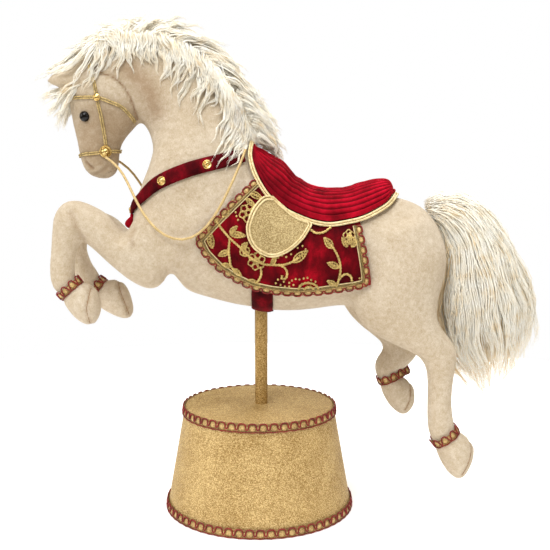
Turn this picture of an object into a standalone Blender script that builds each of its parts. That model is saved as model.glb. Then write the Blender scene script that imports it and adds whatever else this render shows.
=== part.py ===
"""A plush-covered carousel horse on a pole and a tapered drum.

Metres, +Z up. The horse faces -X and its left side is at -Y. The origin is the
centre of the drum's underside, so the figure stands on the XY plane.
"""

import math

import bmesh
import bpy
from mathutils import Matrix, Vector
from mathutils.bvhtree import BVHTree
from mathutils.geometry import barycentric_transform

MM = 0.001

# The sides, by the sign of Y
LEFT, RIGHT = -1, 1
SIDE_NAMES = {LEFT: "left", RIGHT: "right"}

# The stand
DRUM_FOOT_RADIUS = 94 * MM
DRUM_TOP_RADIUS = 75.5 * MM
DRUM_HEIGHT = 104.5 * MM
DRUM_SIDES = 32
TRIM_HEIGHT = 8.5 * MM
TRIM_THICKNESS = 2.2 * MM
TRIM_BEVEL = 1.5 * MM
POLE_X = 2 * MM
POLE_RADIUS = 6.4 * MM
POLE_IN_DRUM = 20 * MM
POLE_IN_BODY = 30 * MM
BELLY_Z = 202 * MM

# Gaps and layers, counted out from the plush skin
GAP = 0.4 * MM
STRAP = (1.5 * MM, 1.6 * MM)
BLANKET_LIFT = 2.6 * MM
BLANKET_THICKNESS = 1.5 * MM
UPPER_LIFT = BLANKET_LIFT + BLANKET_THICKNESS + 1.2 * MM
FLAP_THICKNESS = 1.2 * MM
PIPING_RADIUS = 1.7 * MM
PIPING_POINTS = 36
PIPING_GAP = 1.5 * MM

# How finely the plush form is meshed
FORM_SIDES = 28
FORM_STEPS = 6
FORM_VOXEL = 4 * MM
FORM_SMOOTHING = 8
BODY_TRIANGLES = 2600
HAIR_GAP = 1.6 * MM
HAIR_VOXEL = 5 * MM
HAIR_SMOOTHING = 2
MANE_TRIANGLES = 500
TAIL_TRIANGLES = 520

# Sections of the soft form, in millimetres. Each is the point on one edge of the
# side view (x, z), the point across from it (x, z), the middle y and the half width.
TORSO_AND_NECK = [
    ((186, 262), (186, 246), 0, 8),
    ((181, 280), (183, 226), 0, 27),
    ((168, 300), (170, 212), 0, 40),
    ((150, 311), (150, 203), 0, 47),
    ((122, 316), (115, 204), 0, 50),
    ((92, 309), (82, 206), 0, 50),
    ((60, 308), (45, 201), 0, 52),
    ((35, 317), (12, 201), 0, 53),
    ((17, 334), (-20, 206), 0, 52),
    ((2, 351), (-55, 215), 0, 49),
    ((-10, 366), (-92, 231), 0, 46),
    ((-22, 392), (-125, 283), 0, 41),
    ((-33, 416), (-121, 315), 0, 34),
    ((-46, 438), (-111, 337), 0, 29),
    ((-63, 455), (-104, 357), 0, 26),
    ((-83, 465), (-106, 372), 0, 24),
    ((-103, 470), (-113, 386), 0, 23),
    ((-122, 471), (-122, 396), 0, 22),
    ((-140, 467), (-134, 405), 0, 20),
    ((-154, 458), (-146, 420), 0, 14),
]
HEAD = [
    ((-166, 459), (-144, 461), 0, 8),
    ((-178, 449), (-130, 452), 0, 18),
    ((-184, 434), (-125, 437), 0, 23),
    ((-186, 418), (-121, 418), 0, 25),
    ((-186, 403), (-118, 401), 0, 24),
    ((-184, 389), (-120, 385), 0, 20.5),
    ((-181, 375), (-130, 374), 0, 16.5),
    ((-179, 362), (-137, 361), 0, 14),
    ((-177, 350), (-137.5, 347), 0, 15),
    ((-173, 340), (-140, 337), 0, 13.5),
    ((-166, 333), (-149, 331), 0, 8),
]
LEFT_FORELEG = [
    ((-60, 325), (-45, 245), -20, 30),
    ((-95, 310), (-84, 229), -27, 22),
    ((-117, 299), (-106, 224), -29, 21),
    ((-130, 294), (-125, 234), -31, 20),
    ((-143, 299), (-140, 247), -32, 18.5),
    ((-158, 307), (-155, 261), -32, 17),
    ((-172, 313), (-168, 273), -32, 15.5),
    ((-187, 311), (-172, 275), -32, 15),
    ((-197, 298), (-172.5, 273), -32, 14),
    ((-199, 281), (-174, 267), -32, 13),
    ((-200.5, 262), (-176.5, 256), -32, 12.5),
    ((-203, 243), (-178, 242), -32, 12.5),
    ((-201, 229), (-175, 238), -32, 13),
    ((-195, 219), (-173, 236), -32, 13),
    ((-189, 211), (-167, 234), -32, 14.5),
    ((-182, 201), (-161, 231), -32, 16.5),
    ((-174, 193), (-155, 225), -32, 17),
    ((-166, 188.5), (-152.5, 215), -32, 14.5),
    ((-160, 188), (-151.5, 206), -32, 10),
]
RIGHT_FORELEG = [
    ((-60, 325), (-45, 245), 20, 30),
    ((-95, 305), (-84, 230), 27, 22),
    ((-118, 293), (-108, 228), 29, 21),
    ((-134, 290), (-130, 237), 31, 19.5),
    ((-150, 294), (-146, 249), 32, 18),
    ((-167, 301), (-163, 261), 32, 16),
    ((-183, 304), (-177, 271), 32, 15),
    ((-196, 297), (-180, 269), 32, 14),
    ((-201, 284), (-181, 266), 32, 13),
    ((-202, 268), (-180, 258), 32, 12.5),
    ((-200, 251), (-177, 249), 32, 12.5),
    ((-196, 236), (-172, 240), 32, 12.5),
    ((-189, 222), (-166, 233), 32, 13),
    ((-182, 210), (-162, 227), 32, 13),
    ((-174, 203), (-157, 228), 32, 14.5),
    ((-163, 194), (-148, 229), 32, 16.5),
    ((-150, 188), (-139.5, 223), 32, 17),
    ((-141, 184.5), (-134, 208), 32, 14),
    ((-134, 185), (-130.5, 199), 32, 9),
]
LEFT_HINDLEG = [
    ((95, 275), (165, 297), -20, 30),
    ((88, 235), (183, 262), -25, 33),
    ((91, 212), (181, 240), -28, 31),
    ((100, 192), (175, 218), -31, 26),
    ((117, 179), (173, 202), -33, 22),
    ((137, 169.5), (175, 192), -35, 19),
    ((153, 162), (184, 181), -36, 16.5),
    ((160, 155), (194, 168), -36, 15.5),
    ((164, 146), (193, 152), -36, 14),
    ((165, 134), (190, 136), -36, 13),
    ((164.5, 112), (189, 113), -36, 12.5),
    ((164.5, 96), (191, 97), -36, 13),
    ((166.5, 83), (194.5, 92), -36, 13.5),
    ((170, 75), (196, 88), -36, 13.5),
    ((174, 66), (199, 84), -36, 15),
    ((178.5, 56), (208, 79), -36, 16.5),
    ((184, 46), (213, 69), -36, 17),
    ((192, 37.5), (211, 55), -36, 14),
    ((198, 35), (206, 44), -36, 9),
]
RIGHT_HINDLEG = [
    ((95, 275), (165, 297), 20, 30),
    ((82, 235), (180, 262), 25, 33),
    ((84, 209), (176, 238), 28, 30),
    ((96, 188), (171, 212), 31, 25),
    ((112, 173.5), (168, 190), 34, 20),
    ((128, 161), (170, 172), 36, 16),
    ((132, 152), (168, 148), 36, 14.5),
    ((124, 146), (157, 136), 36, 13.5),
    ((120, 136), (149, 131), 36, 13),
    ((121.5, 127), (148, 130), 36, 13),
    ((125, 118), (150, 127.5), 36, 13),
    ((128, 110), (154, 122), 36, 14.5),
    ((132, 100), (162, 117), 36, 16),
    ((139, 90), (166, 107), 36, 16.5),
    ((147, 83), (165, 94), 36, 14),
    ((152.5, 80), (160, 86), 36, 9),
]
LEFT_EAR = [
    ((-170, 444), (-163, 430), -12, 7),
    ((-178, 437), (-173, 420), -13, 8),
    ((-186, 433), (-182, 418), -14, 7.5),
    ((-194, 431), (-191.5, 420), -14.5, 6),
    ((-200, 429), (-199, 422.5), -14.5, 4),
    ((-203.5, 427), (-203, 424.5), -14.5, 2),
]
MANE = [
    ((-163, 444), (-180, 466), 0, 14),
    ((-148, 437), (-158, 480), 0, 24),
    ((-130, 433), (-138, 487), 0, 28),
    ((-109, 433), (-112, 489), 0, 30),
    ((-94, 424), (-86, 484), 0, 32),
    ((-81, 408), (-62, 474), 0, 34),
    ((-69, 390), (-41, 459), 0, 37),
    ((-57, 376), (-20, 439), 0, 41),
    ((-46, 365), (-2, 414), 0, 44),
    ((-38, 357), (9, 396), 0, 44),
    ((-28, 353), (18, 378), 0, 40),
    ((-16, 353), (24, 361), 0, 30),
]
MANE_LOCKS = 13
TAIL_LOCKS = 7
LOCK_DEPTH = 0.16
UNDER_MANE = ("crownpiece", "collar", "saddle", "saddle_piping")
FORELOCK = [
    ((-148, 450), (-158, 476), 0, 14),
    ((-166, 441), (-181, 462), 0, 12),
    ((-181, 428), (-197, 449), 0, 10),
    ((-188, 414), (-209, 435), 0, 9),
    ((-190, 400), (-212, 415), 0, 8),
    ((-190, 388), (-205, 397), 0, 5),
]
TAIL = [
    ((171, 303), (167, 312), 0, 8),
    ((178, 296), (176, 318), 0, 13),
    ((187, 284), (192, 321), 0, 18),
    ((191, 268), (213, 316), 0, 22),
    ((192, 245), (236, 301), 0, 25),
    ((189, 222), (254, 272), 0, 27),
    ((187, 205), (267, 243), 0, 29),
    ((191, 185), (277, 212), 0, 30),
    ((199, 168), (278, 182), 0, 28),
    ((206, 152), (267, 158), 0, 24),
    ((214, 138), (250, 140), 0, 18),
    ((221, 128), (237, 127), 0, 11),
    ((227, 121), (231, 120), 0, 4),
]

# Lines on the side view, as x -> z in millimetres
SADDLE_HEM = [
    (-11, 361), (-9, 350), (-4, 336), (3, 323), (12, 311), (25, 301), (39, 294),
    (54, 289), (68, 287), (83, 289), (98, 292), (112, 298), (123, 304), (131, 311), (135, 315),
]
SADDLE_TOP = [
    (-11, 373), (0, 369), (13, 362), (19, 355), (28, 344), (43, 331), (59, 325),
    (74, 324), (89, 325), (104, 330), (119, 333), (127, 332.5), (131, 329.5), (134, 322),
]
SADDLE_X = (-9 * MM, 134 * MM)
SADDLE_RIM = 2.0 * MM
BLANKET_HEM = [
    (-60, 276), (-52, 261), (-38, 247), (-23, 237), (-6, 229), (13, 225), (35, 223),
    (57, 224), (79, 227), (96, 229), (106, 231),
]
BLANKET_EDGE_FRONT = [(223, -59), (277, -59), (332, -3), (345, 9)]
BLANKET_EDGE_BACK = [(223, 107), (239, 107), (258, 103), (290, 97), (320, 95)]
FLAP = [
    (12, 308), (4, 308), (-4, 301), (-8, 293), (-9.5, 285), (-7, 275), (0, 266), (13, 260.5),
    (27, 264.5), (39, 273), (45, 280), (48, 285.5), (40, 289), (31, 293.5), (22, 300),
]
FLAP_MIDDLE = (19, 281)
FLAP_BELOW_HEM = 5.5 * MM

# Routes of straps on the left side, as (x, y, z) in millimetres near the skin
COLLAR = [
    (-124, 0, 304), (-122, -12, 306), (-115, -25, 313), (-103, -34, 324),
    (-90, -38, 331), (-76, -41, 337), (-62, -42, 342), (-48, -42, 346),
    (-34, -41, 350), (-21, -37, 354), (-12, -31, 357),
]
COLLAR_WIDTH = 13 * MM
NOSEBAND = ((-158, 0, 357.5), (-0.17, 0, 0.985))
BROWBAND = [
    (-186, 0, 410), (-180, -14, 410), (-168, -21, 410), (-154, -24, 409.5), (-143, -23, 406),
    (-134, -19, 400), (-126, -15, 392),
]
CHEEKPIECE = [
    (-153.5, -24, 405.5), (-151.5, -22, 396), (-150, -19, 383), (-149, -16, 372), (-148.7, -14.5, 365.5),
]
CROWNPIECE = [
    (-165, 0, 458), (-163.5, -12, 449), (-160, -19, 435), (-156, -23, 422), (-154.2, -24, 413.5),
]
BRIDLE_WIDTH = 3.6 * MM
NOSEBAND_LIFT = 1.6 * MM
GIRTH = [(3, 0, 201.5), (3, -14, 202.5), (3, -28, 206), (3, -38, 211.5), (3, -44, 219)]
GIRTH_WIDTH = 20 * MM

# Ankle braids: a point on the leg's middle and the leg's direction there
ANKLES = {
    "left_fore": ((-184.5, -32, 227.5), (0.5, 0, -0.866)),
    "right_fore": ((-172.5, 32, 221), (0.58, 0, -0.815)),
    "left_hind": ((182, -36, 83.5), (0.35, 0, -0.937)),
    "right_hind": ((137, 36, 123.5), (0.34, 0, -0.94)),
}
ANKLE_WIDTH = 7.5 * MM
ANKLE_LIFT = 1.9 * MM

# Reins: from the bit's rosette, down over the shoulder and up to the saddle's front
REIN = [
    (-147.5, -21, 352), (-139, -25, 350), (-130, -31, 338), (-122, -40, 321), (-113, -49, 304),
    (-101, -54, 289), (-88, -56, 280), (-76, -57, 276.5), (-64, -57, 280), (-52, -57, 290),
    (-42, -56, 304), (-33, -54, 322), (-25, -49, 338), (-20, -42, 350), (-17, -34, 359),
]
REIN_DIAMETER = 2.2 * MM
REIN_LIFT = 5.6 * MM
REIN_POINTS = 26

# Domes: the middle's place (x, y, z) in millimetres, the radius and the height in metres
EYE_PLACE = ((-168.5, -24, 392), 4.8 * MM, 3.4 * MM)
BROW_ROSETTE = ((-154, -26, 409.5), 3.6 * MM, 2.6 * MM)
BIT_ROSETTE = ((-148, -18, 358.5), 5.8 * MM, 4.0 * MM)
COLLAR_STUDS = [((-91.5, -40, 330.5), 4.6 * MM, 3.4 * MM), ((-48, -44, 346), 4.6 * MM, 3.4 * MM)]
FRONT_STUD = ((-126, 0, 302), 4.6 * MM, 3.4 * MM)
TASSEL_TOP = (-130 * MM, 0, 294 * MM)
TASSEL = [(0, 0), (2.2, 1.2), (1.8, 4), (3.8, 8), (4.6, 12), (3.2, 15), (0, 15.4)]

PLUSH = ("cream plush", (0.80, 0.68, 0.52), 0.9, 0.0)
FUR = ("ivory fur", (0.88, 0.80, 0.68), 0.8, 0.0)
VELVET = ("red velvet", (0.35, 0.005, 0.02), 0.8, 0.0)
GOLD_CORD = ("gold cord", (0.62, 0.45, 0.18), 0.5, 0.4)
GOLD_METAL = ("gold metal", (0.80, 0.55, 0.15), 0.25, 1.0)
GLITTER = ("gold glitter", (0.55, 0.40, 0.16), 0.5, 0.6)
BRAID = ("red and gold braid", (0.42, 0.16, 0.08), 0.6, 0.2)
EYE = ("black glass", (0.01, 0.01, 0.01), 0.1, 0.0)


def clear_scene():
    for obj in list(bpy.data.objects):
        bpy.data.objects.remove(obj)


def collection(name):
    made = bpy.data.collections.new(name)
    bpy.context.scene.collection.children.link(made)
    return made


def material(spec):
    """The Principled material for (name, colour, roughness, metallic), made once."""
    name, colour, roughness, metallic = spec
    found = bpy.data.materials.get(name)
    if found:
        return found
    made = bpy.data.materials.new(name)
    made.use_nodes = True
    shader = made.node_tree.nodes["Principled BSDF"]
    shader.inputs["Base Color"].default_value = (*colour, 1)
    shader.inputs["Roughness"].default_value = roughness
    shader.inputs["Metallic"].default_value = metallic
    return made


def as_object(name, bm, into, spec, smooth=True):
    """The bmesh as a named object in a collection, faces out and round parts smooth."""
    bmesh.ops.recalc_face_normals(bm, faces=bm.faces)
    mesh = bpy.data.meshes.new(name)
    bm.to_mesh(mesh)
    bm.free()
    if smooth:
        mesh.shade_smooth()
        mesh.set_sharp_from_angle(angle=math.radians(50))
    mesh.materials.append(material(spec))
    obj = bpy.data.objects.new(name, mesh)
    into.objects.link(obj)
    return obj


def evaluated(obj):
    """A plain mesh of the object with its modifiers applied."""
    graph = bpy.context.evaluated_depsgraph_get()
    return bpy.data.meshes.new_from_object(obj.evaluated_get(graph))


def smooth_through(points, steps):
    """Points of a Catmull-Rom curve through the given ones, steps to each span."""
    points = [Vector(p) for p in points]
    ends = [2 * points[0] - points[1], *points, 2 * points[-1] - points[-2]]
    found = []
    for i in range(len(points) - 1):
        a, b, c, d = ends[i : i + 4]
        square = 2 * a - 5 * b + 4 * c - d
        cube = 3 * b - a - 3 * c + d
        for k in range(steps):
            t = k / steps
            found.append((2 * b + (c - a) * t + square * t**2 + cube * t**3) / 2)
    return [*found, points[-1]]


def spaced(points, count):
    """The given number of points at equal steps along a polyline."""
    lengths = [0.0]
    for a, b in zip(points, points[1:]):
        lengths.append(lengths[-1] + (b - a).length)
    found, i = [], 0
    for k in range(count):
        at = lengths[-1] * k / (count - 1)
        while i < len(points) - 2 and lengths[i + 1] < at:
            i += 1
        span = max(lengths[i + 1] - lengths[i], 1e-12)
        found.append(points[i].lerp(points[i + 1], (at - lengths[i]) / span))
    return found


def along(line, x):
    """The height of a side-view line at x, by straight interpolation; all in metres."""
    at = x / MM
    if at <= line[0][0]:
        return line[0][1] * MM
    for (x0, z0), (x1, z1) in zip(line, line[1:]):
        if at <= x1:
            return (z0 + (z1 - z0) * (at - x0) / (x1 - x0)) * MM
    return line[-1][1] * MM


def loft(bm, sections, sides, steps, ripple=None):
    """A closed soft form through elliptical sections; ripple(share, turn) swells it locally."""
    rows = smooth_packed(sections, steps)
    rings = []
    for i, (ax, az, bx, bz, y, half) in enumerate(rows):
        a, b = Vector((ax, y, az)), Vector((bx, y, bz))
        middle, depth, width = (a + b) / 2, (a - b) / 2, Vector((0, half, 0))
        ring = []
        for k in range(sides):
            turn = 2 * math.pi * k / sides
            swell = ripple(i / len(rows), turn) if ripple else 1
            out = depth * math.cos(turn) + width * math.sin(turn)
            ring.append(bm.verts.new((middle + out * swell) * MM))
        rings.append(ring)
    for low, high in zip(rings, rings[1:]):
        for k in range(sides):
            n = (k + 1) % sides
            bm.faces.new((low[k], low[n], high[n], high[k]))
    bm.faces.new(rings[0][::-1])
    bm.faces.new(rings[-1])


def mane_ripple(share, turn):
    """Locks that fall from the crest and sweep back as they fall."""
    return 1 - LOCK_DEPTH * abs(math.sin(math.pi * (MANE_LOCKS * share + 0.9 * math.cos(turn))))


def tail_ripple(share, turn):
    """Locks that run the tail's length with a slow twist."""
    return 1 - 1.4 * LOCK_DEPTH * min(1, 3 * share) * abs(math.sin(TAIL_LOCKS * (turn + 1.2 * share) / 2))


def smooth_packed(sections, steps):
    """The sections with their six numbers smoothed together."""
    first = smooth_through([(*a, b[0]) for a, b, _, _ in sections], steps)
    second = smooth_through([(b[1], y, half) for _, b, y, half in sections], steps)
    return [(*p, *q) for p, q in zip(first, second)]


def soft_form(name, lofts, into, spec, voxel, smoothing, triangles, ripple=None):
    """Lofts joined into one skin: a voxel remesh, a smoothing and a decimation."""
    bm = bmesh.new()
    for sections in lofts:
        loft(bm, sections, FORM_SIDES, FORM_STEPS, ripple)
    obj = as_object(name, bm, into, spec)
    remesh = obj.modifiers.new("one skin", "REMESH")
    remesh.mode = "VOXEL"
    remesh.voxel_size = voxel
    relax = obj.modifiers.new("soft creases", "SMOOTH")
    relax.factor = 0.5
    relax.iterations = smoothing
    decimate = obj.modifiers.new("fewer faces", "DECIMATE")
    decimate.ratio = min(1.0, triangles / (2 * len(evaluated(obj).polygons)))
    decimate.use_collapse_triangulate = True
    return obj


def cut_by(obj, cutter):
    boolean = obj.modifiers.new("clear of " + cutter.name, "BOOLEAN")
    boolean.operation = "DIFFERENCE"
    boolean.solver = "EXACT"
    boolean.object = cutter


def clearance(source, distance, into, share=1.0):
    """A cutter of the source's evaluated shape, grown by a distance, with a share of its faces."""
    obj = bpy.data.objects.new(source.name + "_clearance", evaluated(source))
    into.objects.link(obj)
    grow = obj.modifiers.new("gap", "DISPLACE")
    grow.mid_level = 0
    grow.strength = distance
    if share < 1:
        obj.modifiers.new("fewer faces", "DECIMATE").ratio = share
    return obj


def keep_largest(obj):
    """The object's evaluated mesh with only its largest connected shell kept."""
    mesh = evaluated(obj)
    bm = bmesh.new()
    bm.from_mesh(mesh)
    left, shells = set(bm.verts), []
    while left:
        todo, shell = [left.pop()], set()
        while todo:
            vert = todo.pop()
            shell.add(vert)
            for edge in vert.link_edges:
                other = edge.other_vert(vert)
                if other in left:
                    left.remove(other)
                    todo.append(other)
        shells.append(shell)
    largest = max(shells, key=len)
    bmesh.ops.delete(bm, geom=[v for v in bm.verts if v not in largest], context="VERTS")
    bm.to_mesh(mesh)
    bm.free()
    obj.modifiers.clear()
    obj.data = mesh


class Skin:
    """The plush surface, asked where a point or a ray meets it."""

    def __init__(self, obj):
        mesh = evaluated(obj)
        self.spots = [v.co.copy() for v in mesh.vertices]
        self.normals = [v.normal.copy() for v in mesh.vertices]
        self.faces = [tuple(p.vertices) for p in mesh.polygons]
        self.tree = BVHTree.FromPolygons(self.spots, self.faces)

    def soft_normal(self, place, face):
        """The outward normal at a point of a face, blended from its corners."""
        corners = self.faces[face][:3]
        spots = [self.spots[i] for i in corners]
        return barycentric_transform(place, *spots, *[self.normals[i] for i in corners]).normalized()

    def nearest(self, point):
        """The nearest surface point and its outward normal."""
        place, _, face, _ = self.tree.find_nearest(point)
        return place, self.soft_normal(place, face)

    def section(self, x, angle, axis_z=0.262):
        """Where the torso's cross-section at x meets a ray that leans this far from up."""
        centre = Vector((x, 0, axis_z))
        out = Vector((0, math.sin(angle), math.cos(angle)))
        place, _, face, _ = self.tree.ray_cast(centre + out * 0.3, -out)
        return place, self.soft_normal(place, face)

    def beside(self, x, z, side):
        """The surface point on the torso's LEFT or RIGHT at (x, z) in the side view."""
        return self.section(x, side * self.lean_at(x, z))

    def lean_at(self, x, z):
        """How far from up the ray leans that meets the torso's left or right side at height z."""
        low, high = 0.0, math.radians(150)
        for _ in range(24):
            middle = (low + high) / 2
            if self.section(x, middle)[0].z > z:
                low = middle
            else:
                high = middle
        return low


def sheet(name, into, spec, across, length, place, lift, thickness):
    """A closed sheet from place(u, v) -> (point, normal), raised by lift and thickness(u, v)."""
    bm = bmesh.new()
    bmesh.ops.create_grid(bm, x_segments=length, y_segments=across, size=0.5)
    targets = {}
    for vert in bm.verts:
        u, v = vert.co.x + 0.5, vert.co.y * 2
        point, normal = place(u, v)
        targets[vert] = (point + normal * lift, normal, thickness(u, v))
    top = bmesh.ops.extrude_face_region(bm, geom=bm.faces[:])
    raised = [g for g in top["geom"] if isinstance(g, bmesh.types.BMVert)]
    base = {tuple(v.co): targets[v] for v in targets}
    for vert in raised:
        point, normal, high = base[tuple(vert.co)]
        vert.co = point + normal * high
    for vert, (point, _, _) in targets.items():
        vert.co = point
    return as_object(name, bm, into, spec)


def strip(name, into, spec, skin, route, width, count, columns=2):
    """A flat strap along a route that hugs the skin, with the given count of cross-sections."""
    lift, thickness = STRAP
    points = spaced(route, count)
    bm = bmesh.new()
    rings = []
    for i, point in enumerate(points):
        before, after = points[max(i - 1, 0)], points[min(i + 1, count - 1)]
        place, normal = skin.nearest(point)
        side = (after - before).cross(normal).normalized()
        low, high = [], []
        for c in range(columns):
            out = width * (c / (columns - 1) - 0.5)
            foot, up = skin.nearest(place + side * out)
            up = (up + normal).normalized()
            low.append(bm.verts.new(foot + up * lift))
            high.append(bm.verts.new(foot + up * (lift + thickness)))
        rings.append(low + high[::-1])
    for a, b in zip(rings, rings[1:]):
        for k in range(len(a)):
            n = (k + 1) % len(a)
            bm.faces.new((a[k], a[n], b[n], b[k]))
    bm.faces.new(rings[0][::-1])
    bm.faces.new(rings[-1])
    return as_object(name, bm, into, spec)


def band(name, into, spec, skin, place, width, lift, count):
    """A flat closed strap round a limb, in the plane through a middle point and across an axis."""
    centre, axis = Vector(place[0]) * MM, Vector(place[1]).normalized()
    first = axis.cross(Vector((0, 1, 0))).normalized()
    second = axis.cross(first)
    bm = bmesh.new()
    rings = []
    for k in range(count):
        turn = 2 * math.pi * k / count
        out = first * math.cos(turn) + second * math.sin(turn)
        feet = [skin.tree.ray_cast(centre + axis * width * end, out)[0] for end in (-0.5, 0.5)]
        low = [foot + out * lift for foot in feet]
        high = [foot + out * (lift + STRAP[1]) for foot in feet]
        rings.append([bm.verts.new(p) for p in low + high[::-1]])
    for a, b in zip(rings, rings[1:] + rings[:1]):
        for k in range(4):
            n = (k + 1) % 4
            bm.faces.new((a[k], a[n], b[n], b[k]))
    return as_object(name, bm, into, spec)


def vectors(points, side=LEFT):
    """Left-side millimetre points as vectors in metres, mirrored where the side is RIGHT."""
    return [Vector((x, -side * y, z)) * MM for x, y, z in points]


def both_sides(points):
    """A left-side route joined with its mirror, running from the right end to the left end."""
    left = smooth_through(vectors(points, LEFT), 6)
    right = smooth_through(vectors(points, RIGHT), 6)
    return right[:0:-1] + left


def turned(name, into, spec, profile, sides):
    """A solid of revolution about Z; the profile runs down its outer side in (radius, height)."""
    bm = bmesh.new()
    verts = [bm.verts.new((r, 0, z)) for r, z in profile]
    for a, b in zip(verts, verts[1:]):
        bm.edges.new((a, b))
    mesh = bpy.data.meshes.new(name)
    bm.to_mesh(mesh)
    bm.free()
    mesh.materials.append(material(spec))
    obj = bpy.data.objects.new(name, mesh)
    into.objects.link(obj)
    screw = obj.modifiers.new("turn", "SCREW")
    screw.steps = screw.render_steps = sides
    screw.use_merge_vertices = True
    screw.merge_threshold = 0.00001
    screw.use_smooth_shade = True
    return obj


def ring_trim(name, into, z_low):
    """A braid wrapped round the drum: its section leans with the drum's side."""
    z_high = z_low + TRIM_HEIGHT
    low, high = drum_radius(z_low) + GAP, drum_radius(z_high) + GAP
    profile = [
        (high, z_high),
        (high + TRIM_THICKNESS, z_high - TRIM_BEVEL),
        (low + TRIM_THICKNESS, z_low + TRIM_BEVEL),
        (low, z_low),
        (high, z_high),
    ]
    return turned(name, into, BRAID, profile, DRUM_SIDES)


def drum_radius(z):
    return DRUM_FOOT_RADIUS + (DRUM_TOP_RADIUS - DRUM_FOOT_RADIUS) * z / DRUM_HEIGHT


def cylinder(name, into, spec, radius, low, high, x, sides=24):
    bm = bmesh.new()
    size = {"radius1": radius, "radius2": radius, "depth": high - low}
    bmesh.ops.create_cone(bm, cap_ends=True, segments=sides, **size)
    bmesh.ops.translate(bm, vec=(x, 0, (low + high) / 2), verts=bm.verts)
    return as_object(name, bm, into, spec)


def make_stand(into, cutters):
    drum = turned(
        "drum",
        into,
        GLITTER,
        [
            (0, DRUM_HEIGHT),
            (DRUM_TOP_RADIUS - 1.5 * MM, DRUM_HEIGHT),
            (drum_radius(DRUM_HEIGHT - 1.5 * MM), DRUM_HEIGHT - 1.5 * MM),
            (DRUM_FOOT_RADIUS, 0),
            (0, 0),
        ],
        DRUM_SIDES,
    )
    socket_floor = DRUM_HEIGHT - POLE_IN_DRUM
    socket = cylinder(
        "drum_socket", cutters, GLITTER, POLE_RADIUS + GAP, socket_floor, DRUM_HEIGHT + 0.02, POLE_X
    )
    cut_by(drum, socket)
    ring_trim("drum_top_trim", into, DRUM_HEIGHT - TRIM_HEIGHT)
    ring_trim("drum_foot_trim", into, 0)
    pole_top = BELLY_Z + POLE_IN_BODY
    cylinder("pole", into, GLITTER, POLE_RADIUS, socket_floor + GAP, pole_top - GAP, POLE_X)
    return [socket], pole_top


def make_body(into, cutters, pole_top):
    right_ear = [(a, b, -y, half) for a, b, y, half in LEFT_EAR]
    legs = [LEFT_FORELEG, RIGHT_FORELEG, LEFT_HINDLEG, RIGHT_HINDLEG]
    lofts = [TORSO_AND_NECK, HEAD, *legs, LEFT_EAR, right_ear]
    body = soft_form("horse_body", lofts, into, PLUSH, FORM_VOXEL, FORM_SMOOTHING, BODY_TRIANGLES)
    skin = Skin(body)
    hole = cylinder("belly_socket", cutters, PLUSH, POLE_RADIUS + GAP, 0.17, pole_top, POLE_X)
    cut_by(body, hole)
    return body, skin, hole


def saddle_place(skin):
    """The saddle's footprint: u from front to back, and v across from -1 to 1, at its two hems."""
    front, back = SADDLE_X

    def place(u, v):
        x = front + (back - front) * u
        return skin.section(x, v * skin.lean_at(x, along(SADDLE_HEM, x) + PIPING_RADIUS))

    return place


def make_saddle(into, skin):
    place = saddle_place(skin)
    front, back = SADDLE_X

    def eased(u, v):
        return 0.5 - 0.5 * math.cos(math.pi * u), math.sin(math.pi / 2 * v)

    def thickness(u, v):
        u, v = eased(u, v)
        x = front + (back - front) * u
        crown, normal = skin.section(x, 0)
        high = (along(SADDLE_TOP, x) - crown.z) * max(normal.z, 0.5) - UPPER_LIFT
        return SADDLE_RIM + max(high - SADDLE_RIM, 0) * (1 - abs(v) ** 2.6)

    return sheet("saddle", into, VELVET, 10, 13, lambda u, v: place(*eased(u, v)), UPPER_LIFT, thickness)


def saddle_border(skin):
    """A loop of points and normals on the skin, just outside the saddle's footprint."""
    place = saddle_place(skin)
    shares = [k / 30 for k in range(30)]
    loop = [place(u, -1) for u in shares] + [place(1, 2 * u - 1) for u in shares[::3]]
    loop += [place(1 - u, 1) for u in shares] + [place(0, 1 - 2 * u) for u in shares[::3]]
    outward = []
    for before, (point, normal), after in zip(loop[-1:] + loop, loop, loop[1:] + loop[:1]):
        away = (after[0] - before[0]).cross(normal).normalized()
        outward.append(skin.nearest(point + away * (PIPING_RADIUS + PIPING_GAP)))
    return outward


def tube(name, into, spec, points, radius, resolution=2, cyclic=False):
    """A round cord through the points as a POLY curve."""
    curve = bpy.data.curves.new(name, "CURVE")
    curve.dimensions = "3D"
    curve.bevel_depth = radius
    curve.bevel_resolution = resolution
    curve.use_fill_caps = not cyclic
    spline = curve.splines.new("POLY")
    spline.points.add(len(points) - 1)
    for knot, point in zip(spline.points, points):
        knot.co = (*point, 1)
    spline.use_cyclic_u = cyclic
    curve.materials.append(material(spec))
    obj = bpy.data.objects.new(name, curve)
    into.objects.link(obj)
    return obj


def make_piping(into, skin):
    loop = [point + normal * (UPPER_LIFT + PIPING_RADIUS) for point, normal in saddle_border(skin)]
    points = spaced(loop + loop[:1], PIPING_POINTS + 1)[:-1]
    return tube("saddle_piping", into, GOLD_CORD, points, PIPING_RADIUS, resolution=1, cyclic=True)


def make_blanket(into, skin):
    def place(u, v):
        hem_x = (BLANKET_HEM[0][0] + (BLANKET_HEM[-1][0] - BLANKET_HEM[0][0]) * u) * MM
        z = along(BLANKET_HEM, hem_x)
        x = hem_x
        for _ in range(8):
            point, normal = skin.section(x, v * skin.lean_at(x, z))
            front, back = along(BLANKET_EDGE_FRONT, point.z), along(BLANKET_EDGE_BACK, point.z)
            x = front + (back - front) * u
        return skin.section(x, v * skin.lean_at(x, z))

    return sheet("blanket", into, VELVET, 12, 10, place, BLANKET_LIFT, lambda u, v: BLANKET_THICKNESS)


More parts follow.
